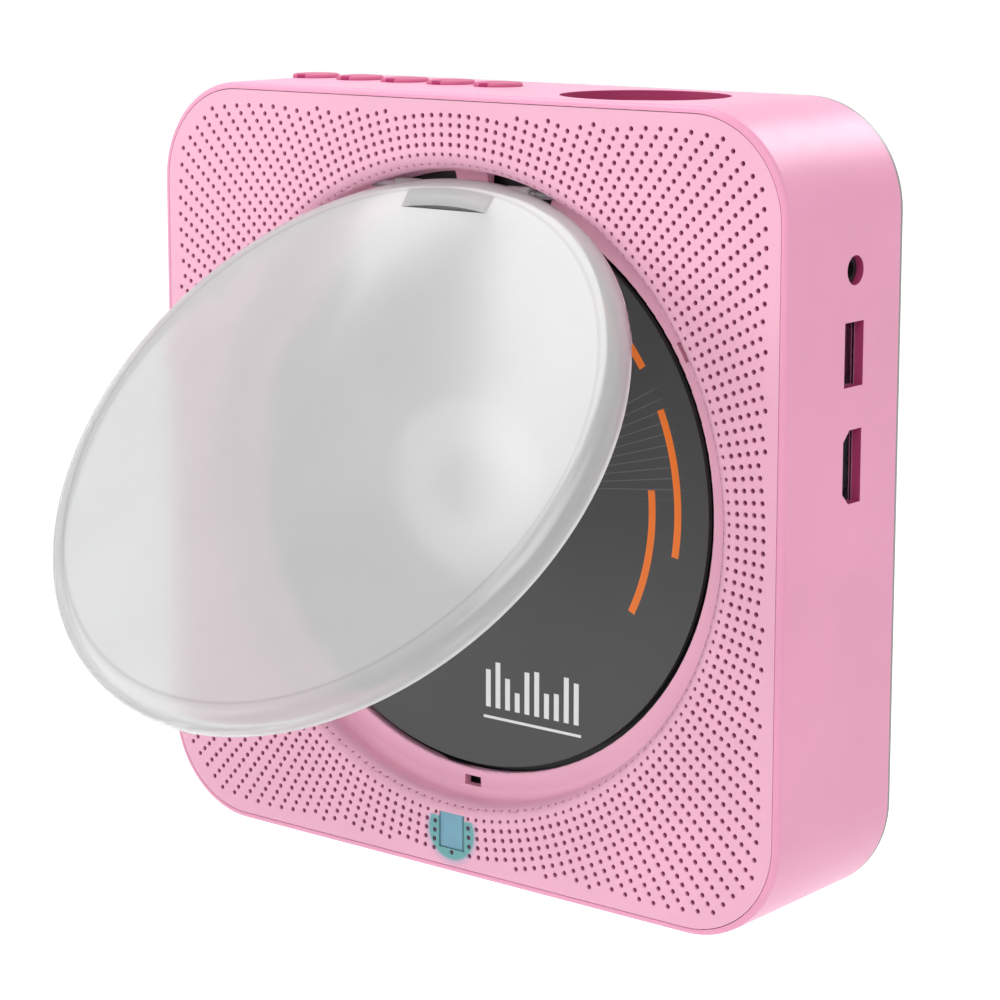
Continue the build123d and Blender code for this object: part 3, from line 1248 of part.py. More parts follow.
with BuildPart() as cover_screws:
    with BuildSketch(Plane.XZ.offset(REGISTER_GAP)):
        with GridLocations(2 * POST_XZ, 2 * POST_XZ, 2, 2):
            Circle(SCREW_HEAD_R)
    extrude(amount=SCREW_HEAD_T)
    with BuildSketch(Plane.XZ.offset(REGISTER_GAP + SCREW_HEAD_T)):
        with GridLocations(2 * POST_XZ, 2 * POST_XZ, 2, 2):
            Circle(SCREW_R)
    extrude(amount=SCREW_L - SCREW_HEAD_T)
save(cover_screws, "cover_screws")

# ---------------------------------------------------------------- wall bracket
with BuildPart() as wall_bracket:
    with BuildSketch(Plane.XZ):
        RectangleRounded(BRACKET_W, BRACKET_H, BRACKET_CORNER_R)
        with GridLocations(BRACKET_HOLE_SPACING, 0, 2, 1):
            Circle(BRACKET_HOLE_R, mode=Mode.SUBTRACT)
    extrude(amount=BRACKET_T)
    stud_head_y = -FLOOR_FRONT_Y + STUD_FLOOR_GAP
    with BuildSketch(Plane.XZ.offset(BRACKET_T)):
        with Locations((STUD_SPACING / 2, STUD_Z), (-STUD_SPACING / 2, STUD_Z)):
            Circle(STUD_R)
    extrude(amount=stud_head_y - BRACKET_T)
    with BuildSketch(Plane.XZ.offset(stud_head_y)):
        with Locations((STUD_SPACING / 2, STUD_Z), (-STUD_SPACING / 2, STUD_Z)):
            Circle(STUD_HEAD_R)
    extrude(amount=STUD_HEAD_T)
save(wall_bracket, "wall_bracket")
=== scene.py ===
import json
import math

import bmesh
import bpy
from bpy.props import FloatProperty, FloatVectorProperty, IntProperty, PointerProperty
from mathutils import Matrix, Vector


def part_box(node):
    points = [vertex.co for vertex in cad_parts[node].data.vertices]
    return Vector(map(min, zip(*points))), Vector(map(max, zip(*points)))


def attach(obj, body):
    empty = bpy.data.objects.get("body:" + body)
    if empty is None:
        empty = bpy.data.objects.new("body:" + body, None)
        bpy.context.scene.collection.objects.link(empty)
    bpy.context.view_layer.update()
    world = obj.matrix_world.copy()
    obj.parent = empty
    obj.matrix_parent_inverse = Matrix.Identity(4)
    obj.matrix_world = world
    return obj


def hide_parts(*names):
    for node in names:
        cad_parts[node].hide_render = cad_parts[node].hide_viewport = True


bl_info = {
    "name": "Wall disc player",
    "version": (1, 0, 0),
    "blender": (4, 5, 0),
    "location": "View3D > Sidebar > Disc player",
    "description": "Dresses the wall mounted disc player: perforated front, frosted cover and finishes",
    "category": "Object",
}

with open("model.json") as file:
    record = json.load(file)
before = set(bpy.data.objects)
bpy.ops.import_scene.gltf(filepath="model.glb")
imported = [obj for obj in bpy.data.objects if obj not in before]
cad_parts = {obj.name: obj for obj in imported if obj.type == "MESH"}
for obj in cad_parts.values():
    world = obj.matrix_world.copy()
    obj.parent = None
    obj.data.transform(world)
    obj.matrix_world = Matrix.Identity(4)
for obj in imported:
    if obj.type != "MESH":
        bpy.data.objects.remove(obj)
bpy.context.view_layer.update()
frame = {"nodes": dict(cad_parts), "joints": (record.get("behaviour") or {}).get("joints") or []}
NODES = frame["nodes"]

MM = 0.001
SMOOTH_ANGLE = math.radians(32.0)  # faces that meet at less than this are shaded as one
FRONT_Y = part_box("front_panel")[0].y
TOP_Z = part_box("main_shell")[1].z
SIDE_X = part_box("main_shell")[1].x
JOINTS = {joint["name"]: joint for joint in frame["joints"]}


def at_depth(depth_mm):
    """The y coordinate of a depth behind the front face."""
    return FRONT_Y + depth_mm * MM


# ---------------------------------------------------------------- settings
class BodySettings(bpy.types.PropertyGroup):
    pink: FloatVectorProperty(
        name="Body colour",
        description="Colour of the moulded body",
        subtype="COLOR",
        default=(0.905, 0.375, 0.560),
        min=0.0,
        max=1.0,
    )
    front_pink: FloatVectorProperty(
        name="Front colour",
        description="Colour of the perforated front",
        subtype="COLOR",
        default=(0.930, 0.475, 0.630),
        min=0.0,
        max=1.0,
    )
    button_pink: FloatVectorProperty(
        name="Button colour",
        description="Colour of the round buttons on the top",
        subtype="COLOR",
        default=(0.640, 0.170, 0.300),
        min=0.0,
        max=1.0,
    )
    # This dark magenta is painted shade in the cup and on the openings' cut edges, and the plain colour of
    # the button marks and the USB tongue.
    magenta: FloatVectorProperty(
        name="Accent colour",
        description="Colour of the cup in the top, the button marks and the edges of the openings",
        subtype="COLOR",
        default=(0.420, 0.045, 0.150),
        min=0.0,
        max=1.0,
    )
    grain: FloatProperty(
        name="Grain",
        description="Size of the fine texture of the moulded surfaces",
        subtype="DISTANCE",
        default=0.00035,
        min=0.0001,
        max=0.002,
    )


class GrilleSettings(bpy.types.PropertyGroup):
    ring_pitch: FloatProperty(
        name="Ring pitch",
        description="Distance from one ring of holes to the next",
        subtype="DISTANCE",
        default=0.002,
        min=0.0015,
        max=0.004,
    )
    rays: IntProperty(
        name="Holes in a ring",
        description="Number of holes in each full ring",
        default=200,
        min=24,
        max=240,
    )
    hole_radius: FloatProperty(
        name="Hole radius",
        description="Radius of a full size hole",
        subtype="DISTANCE",
        default=0.00055,
        min=0.0002,
        max=0.0008,
    )
    margin: FloatProperty(
        name="Plain margin",
        description="Width without holes along the edge of the front",
        subtype="DISTANCE",
        default=0.0029,
        min=0.001,
        max=0.02,
    )


class CoverSettings(bpy.types.PropertyGroup):
    tint: FloatVectorProperty(
        name="Cover colour",
        description="Colour of the frosted cover's face",
        subtype="COLOR",
        default=(0.755, 0.76, 0.76),
        min=0.0,
        max=1.0,
    )
    rim: FloatVectorProperty(
        name="Cover rim colour",
        description="Colour of the thicker rim round the cover",
        subtype="COLOR",
        default=(0.74, 0.74, 0.74),
        min=0.0,
        max=1.0,
    )


class DiscSettings(bpy.types.PropertyGroup):
    label: FloatVectorProperty(
        name="Label colour",
        description="Ground colour of the printed side of the disc",
        subtype="COLOR",
        default=(0.052, 0.054, 0.055),
        min=0.0,
        max=1.0,
    )
    accent: FloatVectorProperty(
        name="Print colour",
        description="Colour of the printed arcs",
        subtype="COLOR",
        default=(0.90, 0.20, 0.02),
        min=0.0,
        max=1.0,
    )


class LightSettings(bpy.types.PropertyGroup):
    glow: FloatVectorProperty(
        name="Indicator colour",
        description="Colour of the indicator light under the disc",
        subtype="COLOR",
        default=(0.120, 0.400, 0.400),
        min=0.0,
        max=1.0,
    )


def settings():
    """The groups of user values on the scene."""
    return bpy.context.scene.disc_player


class PlayerSettings(bpy.types.PropertyGroup):
    body: PointerProperty(type=BodySettings)
    grille: PointerProperty(type=GrilleSettings)
    cover: PointerProperty(type=CoverSettings)
    disc: PointerProperty(type=DiscSettings)
    light: PointerProperty(type=LightSettings)


# ---------------------------------------------------------------- node helpers
class Finish:
    """A material under construction: its Principled shader, nodes and links."""

    def __init__(self, name, **sockets):
        self.material = bpy.data.materials.new(name)
        self.material.use_nodes = True
        self.tree = self.material.node_tree
        self.shader = self.tree.nodes["Principled BSDF"]
        self.place = self.node("ShaderNodeTexCoord").outputs["Object"]
        for socket, value in sockets.items():
            self.shader.inputs[socket.replace("_", " ")].default_value = value

    def node(self, kind, **values):
        """Adds a node; values are its properties, or its inputs where they have a socket's name."""
        made = self.tree.nodes.new(kind)
        for key, value in values.items():
            if hasattr(made, key):
                setattr(made, key, value)
            else:
                made.inputs[key.replace("_", " ")].default_value = value
        return made

    def link(self, output, target):
        self.tree.links.new(output, target)

    def math(self, operation, first, second=0.0, third=0.0):
        """A Math node; each operand is a number or another node's output."""
        made = self.tree.nodes.new("ShaderNodeMath")
        made.operation = operation
        for socket, operand in zip(made.inputs, (first, second, third)):
            if isinstance(operand, (int, float)):
                socket.default_value = operand
            else:
                self.link(operand, socket)
        return made.outputs[0]

    def product(self, first, *others):
        """Several outputs or numbers multiplied together."""
        for other in others:
            first = self.math("MULTIPLY", first, other)
        return first

    def length(self, first, second):
        """How far a point is from the origin of a plane, from its two coordinates."""
        return self.math("SQRT", self.math("ADD", self.product(first, first), self.product(second, second)))

    def ease(self, value, start, end, low=0.0, high=1.0):
        """A smooth change from low to high while a value goes from start to end."""
        made = self.node("ShaderNodeMapRange", interpolation_type="SMOOTHSTEP")
        for socket, amount in {"From Min": start, "From Max": end, "To Min": low, "To Max": high}.items():
            made.inputs[socket].default_value = amount
        self.link(value, made.inputs["Value"])
        return made.outputs["Result"]

    def near(self, value, middle, half, soft=0.00004):
        """1 where a value is less than half away from the middle, with a soft edge."""
        away = self.math("ABSOLUTE", self.math("SUBTRACT", value, middle))
        return self.ease(away, half + soft, half - soft)

    def noise(self, size, detail=3.0, roughness=0.5):
        """Noise whose features are about size metres across."""
        made = self.node("ShaderNodeTexNoise", Scale=1.0 / size, Detail=detail, Roughness=roughness)
        self.link(self.place, made.inputs["Vector"])
        return made.outputs["Fac"]

    def ramp(self, factor, stops):
        """A colour ramp with (position, colour) stops."""
        made = self.tree.nodes.new("ShaderNodeValToRGB")
        elements = made.color_ramp.elements
        while len(elements) < len(stops):
            elements.new(1.0)
        for element, (position, colour) in zip(elements, stops):
            element.position = position
            element.color = (*colour[:3], 1.0)
        self.link(factor, made.inputs[0])
        return made.outputs[0]

    def mix(self, factor, first, second):
        """Mixes two colours by a factor; each is a colour or a node's output."""
        made = self.node("ShaderNodeMix", data_type="RGBA")
        self.link(factor, made.inputs["Factor"])
        for socket, operand in zip((made.inputs[6], made.inputs[7]), (first, second)):
            if isinstance(operand, bpy.types.NodeSocket):
                self.link(operand, socket)
            else:
                socket.default_value = (*operand[:3], 1.0)
        return made.outputs[2]

    def shade(self, colour, spread=0.06, size=0.02):
        """Base colour with a slow variation of tone about it."""
        light = [min(1.0, channel * (1 + spread)) for channel in colour[:3]]
        dark = [channel * (1 - spread) for channel in colour[:3]]
        tone = self.ramp(self.noise(size), [(0.3, dark), (0.7, light)])
        self.link(tone, self.shader.inputs["Base Color"])
        return tone

    def polish(self, low, high, size=0.004):
        """Roughness that wanders between two values."""
        made = self.node("ShaderNodeMapRange", To_Min=low, To_Max=high)
        self.link(self.noise(size), made.inputs["Value"])
        self.link(made.outputs["Result"], self.shader.inputs["Roughness"])

    def grain(self, size, strength, distance=0.00005):
        """Fine bump over the whole surface."""
        bump = self.node("ShaderNodeBump", Strength=strength, Distance=distance)
        self.link(self.noise(size, detail=2.0), bump.inputs["Height"])
        self.link(bump.outputs["Normal"], self.shader.inputs["Normal"])

    def brushed(self, size, stretch, strength):
        """Fine scratches drawn out along one axis."""
        mapping = self.node("ShaderNodeMapping", Scale=stretch)
        self.link(self.place, mapping.inputs["Vector"])
        made = self.node("ShaderNodeTexNoise", Scale=1.0 / size, Detail=3.0)
        self.link(mapping.outputs["Vector"], made.inputs["Vector"])
        bump = self.node("ShaderNodeBump", Strength=strength, Distance=0.00002)
        self.link(made.outputs["Fac"], bump.inputs["Height"])
        self.link(bump.outputs["Normal"], self.shader.inputs["Normal"])


def xyz(finish):
    """The three object coordinates of a finish, in metres."""
    split = finish.node("ShaderNodeSeparateXYZ")
    finish.link(finish.place, split.inputs[0])
    return split.outputs[0], split.outputs[1], split.outputs[2]


def paint(node, material):
    """Gives a carried-over node its finished material."""
    mesh = NODES[node].data
    if mesh.materials:
        for index in range(len(mesh.materials)):
            mesh.materials[index] = material
    else:
        mesh.materials.append(material)


# ---------------------------------------------------------------- materials
def moulded_plastic(name, colour, low=0.34, high=0.46, grain=0.00035, strength=0.12, spread=0.035):
    """Satin moulded plastic with a fine spark-eroded grain."""
    finish = Finish(name, Specular_IOR_Level=0.45)
    finish.shade(colour, spread, 0.03)
    finish.polish(low, high)
    finish.grain(grain, strength)
    return finish


def metal(name, colour, low, high, stretch=(1.0, 1.0, 1.0), strength=0.15):
    """Plain or brushed metal."""
    finish = Finish(name, Metallic=1.0)
    finish.shade(colour, 0.08, 0.006)
    finish.polish(low, high, 0.003)
    finish.brushed(0.0006, stretch, strength)
    return finish


def circuit_green():
    """Solder mask with faint tracks under it."""
    finish = Finish("board_mask", Coat_Weight=0.4, Coat_Roughness=0.15)
    brick = finish.node("ShaderNodeTexBrick", offset=0.37, Scale=220.0, Mortar_Size=0.06)
    brick.inputs["Color1"].default_value = (0.010, 0.105, 0.045, 1)
    brick.inputs["Color2"].default_value = (0.012, 0.120, 0.050, 1)
    brick.inputs["Mortar"].default_value = (0.030, 0.190, 0.080, 1)
    turn = finish.node("ShaderNodeMapping", Rotation=(math.radians(90), 0, 0))
    finish.link(finish.place, turn.inputs["Vector"])
    finish.link(turn.outputs["Vector"], brick.inputs["Vector"])
    finish.link(brick.outputs["Color"], finish.shader.inputs["Base Color"])
    finish.polish(0.25, 0.4)
    return finish


# ---------------------------------------------------------------- mesh helpers
def cad_copy(node):
    """A merged copy of a CAD node's mesh, as a bmesh."""
    bm = bmesh.new()
    bm.from_mesh(NODES[node].data)
    bmesh.ops.remove_doubles(bm, verts=bm.verts, dist=1e-7)
    return bm


def finished(name, bm, body, material, replaces=()):
    """Turns a bmesh into a piece that rides on a body, with soft shading below an angle."""
    mesh = bpy.data.meshes.new(name)
    bm.to_mesh(mesh)
    bm.free()
    mesh.materials.append(material)
    piece = bpy.data.objects.new(name, mesh)
    bpy.context.scene.collection.objects.link(piece)
    mesh.shade_smooth()
    mesh.set_sharp_from_angle(angle=SMOOTH_ANGLE)
    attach(piece, body)
    if replaces:
        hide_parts(*replaces)
    return piece


def temporary(name, bm):
    """An object that only helps to cut another."""
    mesh = bpy.data.meshes.new(name)
    bm.to_mesh(mesh)
    bm.free()
    helper = bpy.data.objects.new(name, mesh)
    bpy.context.scene.collection.objects.link(helper)
    return helper


def apply(piece, modifier):
    """Makes a modifier's result permanent."""
    bpy.context.view_layer.objects.active = piece
    with bpy.context.temp_override(object=piece, active_object=piece, selected_objects=[piece]):
        bpy.ops.object.modifier_apply(modifier=modifier.name)


def cut(piece, cutter):
    """Takes the cutter out of the piece and deletes the cutter."""
    modifier = piece.modifiers.new("cut", "BOOLEAN")
    modifier.operation = "DIFFERENCE"
    modifier.solver = "MANIFOLD"
    modifier.object = cutter
    apply(piece, modifier)
    bpy.data.objects.remove(cutter)


def even_shading(piece):
    """Keeps large flat faces evenly lit up to the fillets round them."""
    modifier = piece.modifiers.new("even_shading", "WEIGHTED_NORMAL")
    modifier.mode = "FACE_AREA"
    modifier.weight = 90
    modifier.keep_sharp = True
    apply(piece, modifier)


def facing_front(x, depth_mm, z):
    """A matrix that turns a cone or circle made along Z to look along Y, and moves it to its place."""
    return Matrix.Translation((x, at_depth(depth_mm), z)) @ Matrix.Rotation(math.radians(90), 4, "X")


# ---------------------------------------------------------------- front
HALF_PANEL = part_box("front_panel")[1].x
PANEL_CORNER = 0.0205
SPEAKER_CENTRE = 0.0605
SPEAKER_HOLES_R = 0.0125
WINDOW_LOW, WINDOW_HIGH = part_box("indicator_window")
WINDOW_FLANGE = 0.0012
WINDOW_HALF_W = WINDOW_HIGH.x - WINDOW_FLANGE


def inside_panel(x, z, margin):
    """Whether a point lies inside the rounded front by at least a margin."""
    straight = HALF_PANEL - PANEL_CORNER
    if abs(x) < straight or abs(z) < straight:
        return max(abs(x), abs(z)) < HALF_PANEL - margin
    return math.hypot(abs(x) - straight, abs(z) - straight) < PANEL_CORNER - margin


RIM_R = 0.004
RIM_START_R = 0.0708
LAST_HOLE_XZ = 0.0795
HOLE_SHADE_FROM, HOLE_SHADE_TO = 0.00025, 0.00060  # below the face, where painted shade darkens a hole's wall
HOLE_WALL_SHADE = (0.620, 0.200, 0.360)
# radii of the teal glow painted round the indicator window
GLOW_START_R = 0.0702
GLOW_HALO_R, GLOW_HALO_CORE = 0.0080, 0.0060
GLOW_SPOT_R, GLOW_SPOT_CORE = 0.0066, 0.0058
PAINTED_GLOW_FRINGE = (0.50, 0.44, 0.60)
FIRST_RING = 34
SMALL_RINGS = {34: 0.45, 35: 0.8}  # the holes of the first rings are smaller
HOLE_SIDES = 10
CUTTER_LENGTH = 0.006


def pink_front_material():
    """Body plastic with painted shade on the holes' walls and a teal glow painted round the indicator
    window.
    """
    chosen = settings()
    finish = moulded_plastic("pink_front", chosen.body.front_pink, grain=chosen.body.grain)
    tone = finish.shader.inputs["Base Color"].links[0].from_socket
    x, y, z = xyz(finish)
    # painted glow: a teal spot with a pale fringe round the indicator window, painted into the base colour
    centre_z = (WINDOW_LOW.z + WINDOW_HIGH.z) / 2
    from_window = finish.length(x, finish.math("SUBTRACT", z, centre_z))
    on_face = finish.ease(finish.length(x, z), GLOW_START_R, GLOW_START_R + 0.0008)
    painted_halo = finish.product(finish.ease(from_window, GLOW_HALO_R, GLOW_HALO_CORE, 0.0, 0.75), on_face)
    pale = finish.mix(painted_halo, tone, PAINTED_GLOW_FRINGE)
    painted_spot = finish.product(finish.ease(from_window, GLOW_SPOT_R, GLOW_SPOT_CORE, 0.0, 0.95), on_face)
    lit = finish.mix(painted_spot, pale, chosen.light.glow)
    # how far below the front face, or below the rounded rim of the well, a point lies
    radius = finish.length(x, z)
    inward = finish.math("MAXIMUM", finish.math("SUBTRACT", RIM_START_R, radius), 0.0)
    arc = finish.math("SQRT", finish.math("SUBTRACT", RIM_R * RIM_R, finish.product(inward, inward)))
    face = finish.math("SUBTRACT", FRONT_Y + RIM_R, arc)
    below = finish.ease(finish.math("SUBTRACT", y, face), HOLE_SHADE_FROM, HOLE_SHADE_TO)
    outside_well = finish.math("GREATER_THAN", radius, RIM_START_R - RIM_R + 0.0003)
    across = finish.math("LESS_THAN", finish.math("ABSOLUTE", x), LAST_HOLE_XZ)
    upright = finish.math("LESS_THAN", finish.math("ABSOLUTE", z), LAST_HOLE_XZ)
    # painted shade: hole walls deeper than about a quarter millimetre below the face take the darker wall
    # colour
    hole = finish.product(below, outside_well, across, upright)
    hole_shaded = finish.mix(hole, lit, HOLE_WALL_SHADE)
    finish.link(hole_shaded, finish.shader.inputs["Base Color"])
    return finish.material


class PLAYER_OT_front(bpy.types.Operator):
    """Makes the perforated front with its coved disc well"""

    bl_idname = "disc_player.front"
    bl_label = "Perforated front"

    def execute(self, context):
        chosen = settings().grille
        piece = finished(
            "perforated_front",
            cad_copy("front_panel"),
            "housing",
            pink_front_material(),
            ["front_panel"],
        )
        holes = bmesh.new()
        last_ring = int(HALF_PANEL * math.sqrt(2) / chosen.ring_pitch)
        for ring in range(FIRST_RING, last_ring + 1):
            radius = chosen.hole_radius * SMALL_RINGS.get(ring, 1.0)
            for ray in range(chosen.rays):
                angle = 2 * math.pi * ray / chosen.rays
                x = ring * chosen.ring_pitch * math.cos(angle)
                z = ring * chosen.ring_pitch * math.sin(angle)
                if not inside_panel(x, z, chosen.margin):
                    continue
                if math.hypot(abs(x) - SPEAKER_CENTRE, z + SPEAKER_CENTRE) < SPEAKER_HOLES_R:
                    continue
                in_window = abs(x) < WINDOW_HALF_W + chosen.hole_radius
                if in_window and WINDOW_LOW.z - 0.0008 < z < WINDOW_HIGH.z + 0.0008:
                    continue
                bmesh.ops.create_cone(
                    holes,
                    cap_ends=True,
                    segments=HOLE_SIDES,
                    radius1=radius,
                    radius2=radius,
                    depth=CUTTER_LENGTH,
                    matrix=facing_front(x, 0.0, z),
                )
        cut(piece, temporary("hole_cutters", holes))
        piece.data.shade_smooth()
        piece.data.set_sharp_from_angle(angle=SMOOTH_ANGLE)
        even_shading(piece)
        return {"FINISHED"}


# ---------------------------------------------------------------- body
WALL = 0.0022
CUP_WALL = 0.001
REAR_LINE = 0.0007


def pink_shell_material():
    """Body plastic; the cut edges of the cup's and the sockets' openings carry painted shade in dark
    magenta.
    """
    chosen = settings().body
    finish = moulded_plastic("pink_shell", chosen.pink, grain=chosen.grain)
    tone = finish.shader.inputs["Base Color"].links[0].from_socket
    x, y, z = xyz(finish)
    low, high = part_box("top_well")
    centre, half = (low + high) / 2, (high - low) / 2
    oval_x = finish.math("DIVIDE", finish.math("SUBTRACT", x, centre.x), half.x - CUP_WALL)
    oval_y = finish.math("DIVIDE", finish.math("SUBTRACT", y, centre.y), half.y - CUP_WALL)
    in_cup = finish.math("LESS_THAN", finish.length(oval_x, oval_y), 1.01)
    in_top = finish.near(z, TOP_Z - WALL / 2, WALL / 2 - 0.0001)
    port = (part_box("usb_shell")[0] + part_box("usb_shell")[1]) / 2
    socket_low, socket_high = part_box("hdmi_shell")[0].z - 0.001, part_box("audio_jack")[1].z + 0.001
    in_side = finish.near(x, SIDE_X - WALL / 2, WALL / 2 - 0.00008)
    beside = finish.near(y, port.y, 0.0038)
    along = finish.near(z, (socket_low + socket_high) / 2, (socket_high - socket_low) / 2)
    # painted shade: the cut edges of the cup's and the sockets' openings take the dark magenta
    edge = finish.math("MAXIMUM", finish.product(in_cup, in_top), finish.product(in_side, beside, along))
    finish.link(finish.mix(edge, tone, chosen.magenta), finish.shader.inputs["Base Color"])
    return finish.material


def rear_cover_material():
    """Pale grey back whose rim carries the body's colour up to a dark line at the wall."""
    finish = moulded_plastic("pale_grey_back", (0.62, 0.62, 0.64), grain=0.0005, strength=0.2)
    grey = finish.shader.inputs["Base Color"].links[0].from_socket
    x, y, z = xyz(finish)
    edge = finish.math("MAXIMUM", finish.math("ABSOLUTE", x), finish.math("ABSOLUTE", z))
    outward = finish.node("ShaderNodeSeparateXYZ")
    finish.link(finish.node("ShaderNodeTexCoord").outputs["Normal"], outward.inputs[0])
    sideways = finish.math("LESS_THAN", finish.math("ABSOLUTE", outward.outputs[1]), 0.5)
    rim = finish.product(sideways, finish.math("GREATER_THAN", edge, SIDE_X - 0.010))
    line = finish.math("GREATER_THAN", y, -REAR_LINE)
    pink = finish.mix(line, settings().body.pink, (0.30, 0.29, 0.29))
    finish.link(finish.mix(rim, grey, pink), finish.shader.inputs["Base Color"])
    return finish.material


class PLAYER_OT_body(bpy.types.Operator):
    """Finishes the body, its rear cover, the cup and the wall bracket"""

    bl_idname = "disc_player.body"
    bl_label = "Body and back"

    def execute(self, context):
        chosen = settings().body
        paint("main_shell", pink_shell_material())
        paint("rear_cover", rear_cover_material())
        # painted shade: the cup in the top takes the dark magenta that stands for the shade inside the
        # pocket
        cup = moulded_plastic("magenta_cup_painted_shade", chosen.magenta, low=0.35, high=0.45).material
        paint("top_well", cup)
        zinc = metal("zinc_plate", (0.55, 0.56, 0.58), 0.35, 0.5, (1, 1, 8)).material
        paint("wall_bracket", zinc)
        steel = metal("screw_steel", (0.50, 0.50, 0.52), 0.25, 0.4).material
        paint("cover_screws", steel)
        return {"FINISHED"}


# ---------------------------------------------------------------- buttons
BUTTONS = ("power_button", "previous_button", "play_button", "next_button", "mode_button")
MARK_HALF_W = 0.0012
MARK_START = 0.0036  # from the middle of a button towards the front


def button_material(name):
    """Flat round button with a small magenta mark at its front edge."""
    chosen = settings().body
    finish = moulded_plastic(f"{name}_cap", chosen.button_pink, low=0.5, high=0.6)
    finish.shader.inputs["Specular IOR Level"].default_value = 0.06
    tone = finish.shader.inputs["Base Color"].links[0].from_socket
    low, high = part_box(name)
    centre = (low + high) / 2
    x, y, z = xyz(finish)
    across = finish.near(x, centre.x, MARK_HALF_W)
    in_front = finish.math("LESS_THAN", y, centre.y - MARK_START)
    marked = finish.mix(finish.product(across, in_front), tone, chosen.magenta)
    finish.link(marked, finish.shader.inputs["Base Color"])
    return finish.material


class PLAYER_OT_buttons(bpy.types.Operator):
    """Finishes the five round buttons"""

    bl_idname = "disc_player.buttons"
    bl_label = "Buttons"

    def execute(self, context):
        for name in BUTTONS:
            paint(name, button_material(name))
        return {"FINISHED"}


# ---------------------------------------------------------------- dust cover
HINGE = Vector(JOINTS["cover_hinge"]["pos_m"])
REST_OPEN = math.radians(42.0)
COVER_R = 0.0652
COVER_MOUTH_Y = at_depth(6.9)
COVER_HEIGHT = 0.0051
RIM_BAND = 0.0050
CREASE_SHADE_SHARE = 0.35
CREASE_SHADE = (0.30, 0.30, 0.31)
MOUTH_HIGHLIGHT = (0.96, 0.96, 0.97)
GROOVE_Z = 0.0559
GROOVE_HALF_W, GROOVE_HALF_H = 0.0118, 0.0012
GROOVE_SHADE = (0.16, 0.16, 0.17)


def shut_coordinates(finish):
    """The object coordinates as they would be with the cover shut."""
    shut = Matrix.Rotation(REST_OPEN, 3, "X")
    turn = finish.node("ShaderNodeMapping", Location=HINGE - shut @ HINGE, Rotation=(REST_OPEN, 0.0, 0.0))
    finish.link(finish.place, turn.inputs["Vector"])
    split = finish.node("ShaderNodeSeparateXYZ")
    finish.link(turn.outputs["Vector"], split.inputs[0])
    return split.outputs[0], split.outputs[1], split.outputs[2]


def frosted_material():
    """Frosted plastic with a denser rim, painted shade where the rim meets the face, a painted highlight
    along the mouth edge and painted shade in the finger groove.
    """
    chosen = settings().cover
    finish = Finish("frosted_cover", Transmission_Weight=0.51, IOR=1.45, Specular_IOR_Level=0.7)
    tone = finish.shade(chosen.tint, 0.02, 0.03)
    x, y, z = shut_coordinates(finish)
    radius = finish.length(x, z)
    height = finish.math("SUBTRACT", COVER_MOUTH_Y, y)
    rim_start = COVER_R - RIM_BAND
    band = finish.ease(radius, rim_start - 0.0003, rim_start + 0.0006)
    rimmed = finish.mix(band, tone, chosen.rim)
    # painted shade: a dark line where the rim band meets the face
    crease_shade = finish.near(radius, rim_start + 0.0006, 0.0002, 0.0005)
    crease_shaded = finish.mix(finish.product(crease_shade, CREASE_SHADE_SHARE), rimmed, CREASE_SHADE)
    # painted highlight: a bright line along the mouth edge of the rim
    mouth = finish.product(finish.ease(height, 0.0011, 0.0004), band)
    mouth_highlighted = finish.mix(mouth, crease_shaded, MOUTH_HIGHLIGHT)
    # painted shade: the floor of the finger groove takes a dark tone
    groove = finish.product(
        finish.near(height, COVER_HEIGHT - 0.0004, 0.0003),
        finish.near(x, 0.0, GROOVE_HALF_W),
        finish.near(z, GROOVE_Z, GROOVE_HALF_H),
    )
    groove_shaded = finish.mix(groove, mouth_highlighted, GROOVE_SHADE)
    finish.link(groove_shaded, finish.shader.inputs["Base Color"])
    finish.polish(0.13, 0.17, 0.01)
    return finish.material


def clear_pin_material():
    """Clear plastic of the small hinge pins."""
    finish = Finish("clear_pin", Transmission_Weight=0.75, IOR=1.45)
    finish.shade((0.62, 0.63, 0.64), 0.04, 0.004)
    finish.polish(0.12, 0.2)
    return finish.material


class PLAYER_OT_cover(bpy.types.Operator):
    """Makes the hinged frosted dust cover"""

    bl_idname = "disc_player.cover"
    bl_label = "Dust cover"

    def execute(self, context):
        finished(
            "frosted_dust_cover",
            cad_copy("dust_cover"),
            "cover",
            frosted_material(),
            ["dust_cover"],
        )
        paint("hinge_pins", clear_pin_material())
        return {"FINISHED"}


# ---------------------------------------------------------------- disc and drive
CLEAR_RING_R = 0.0195
CLEAR_TONE = (0.66, 0.67, 0.68)
ARCS = ((0.0525, -9.0, 24.0), (0.0462, -27.0, 6.0), (0.0525, 34.0, 52.0))  # ring, from, to
ARC_HALF_W = 0.00085
RAYS_PER_RADIAN = 23.0
FAN_SHARE = 0.22
FAN_TONE = (0.42, 0.42, 0.42)
BAR_PITCH = 0.0026
BAR_FOOT_Z, BAR_LOWEST_Z, BAR_RISE = -0.0470, -0.0445, 0.0075
BARS_X, BARS_HALF_W = 0.0156, 0.0130
UNDERLINE_Z, UNDERLINE_HALF = -0.0492, 0.0003
BAR_TONE = (0.86, 0.86, 0.85)


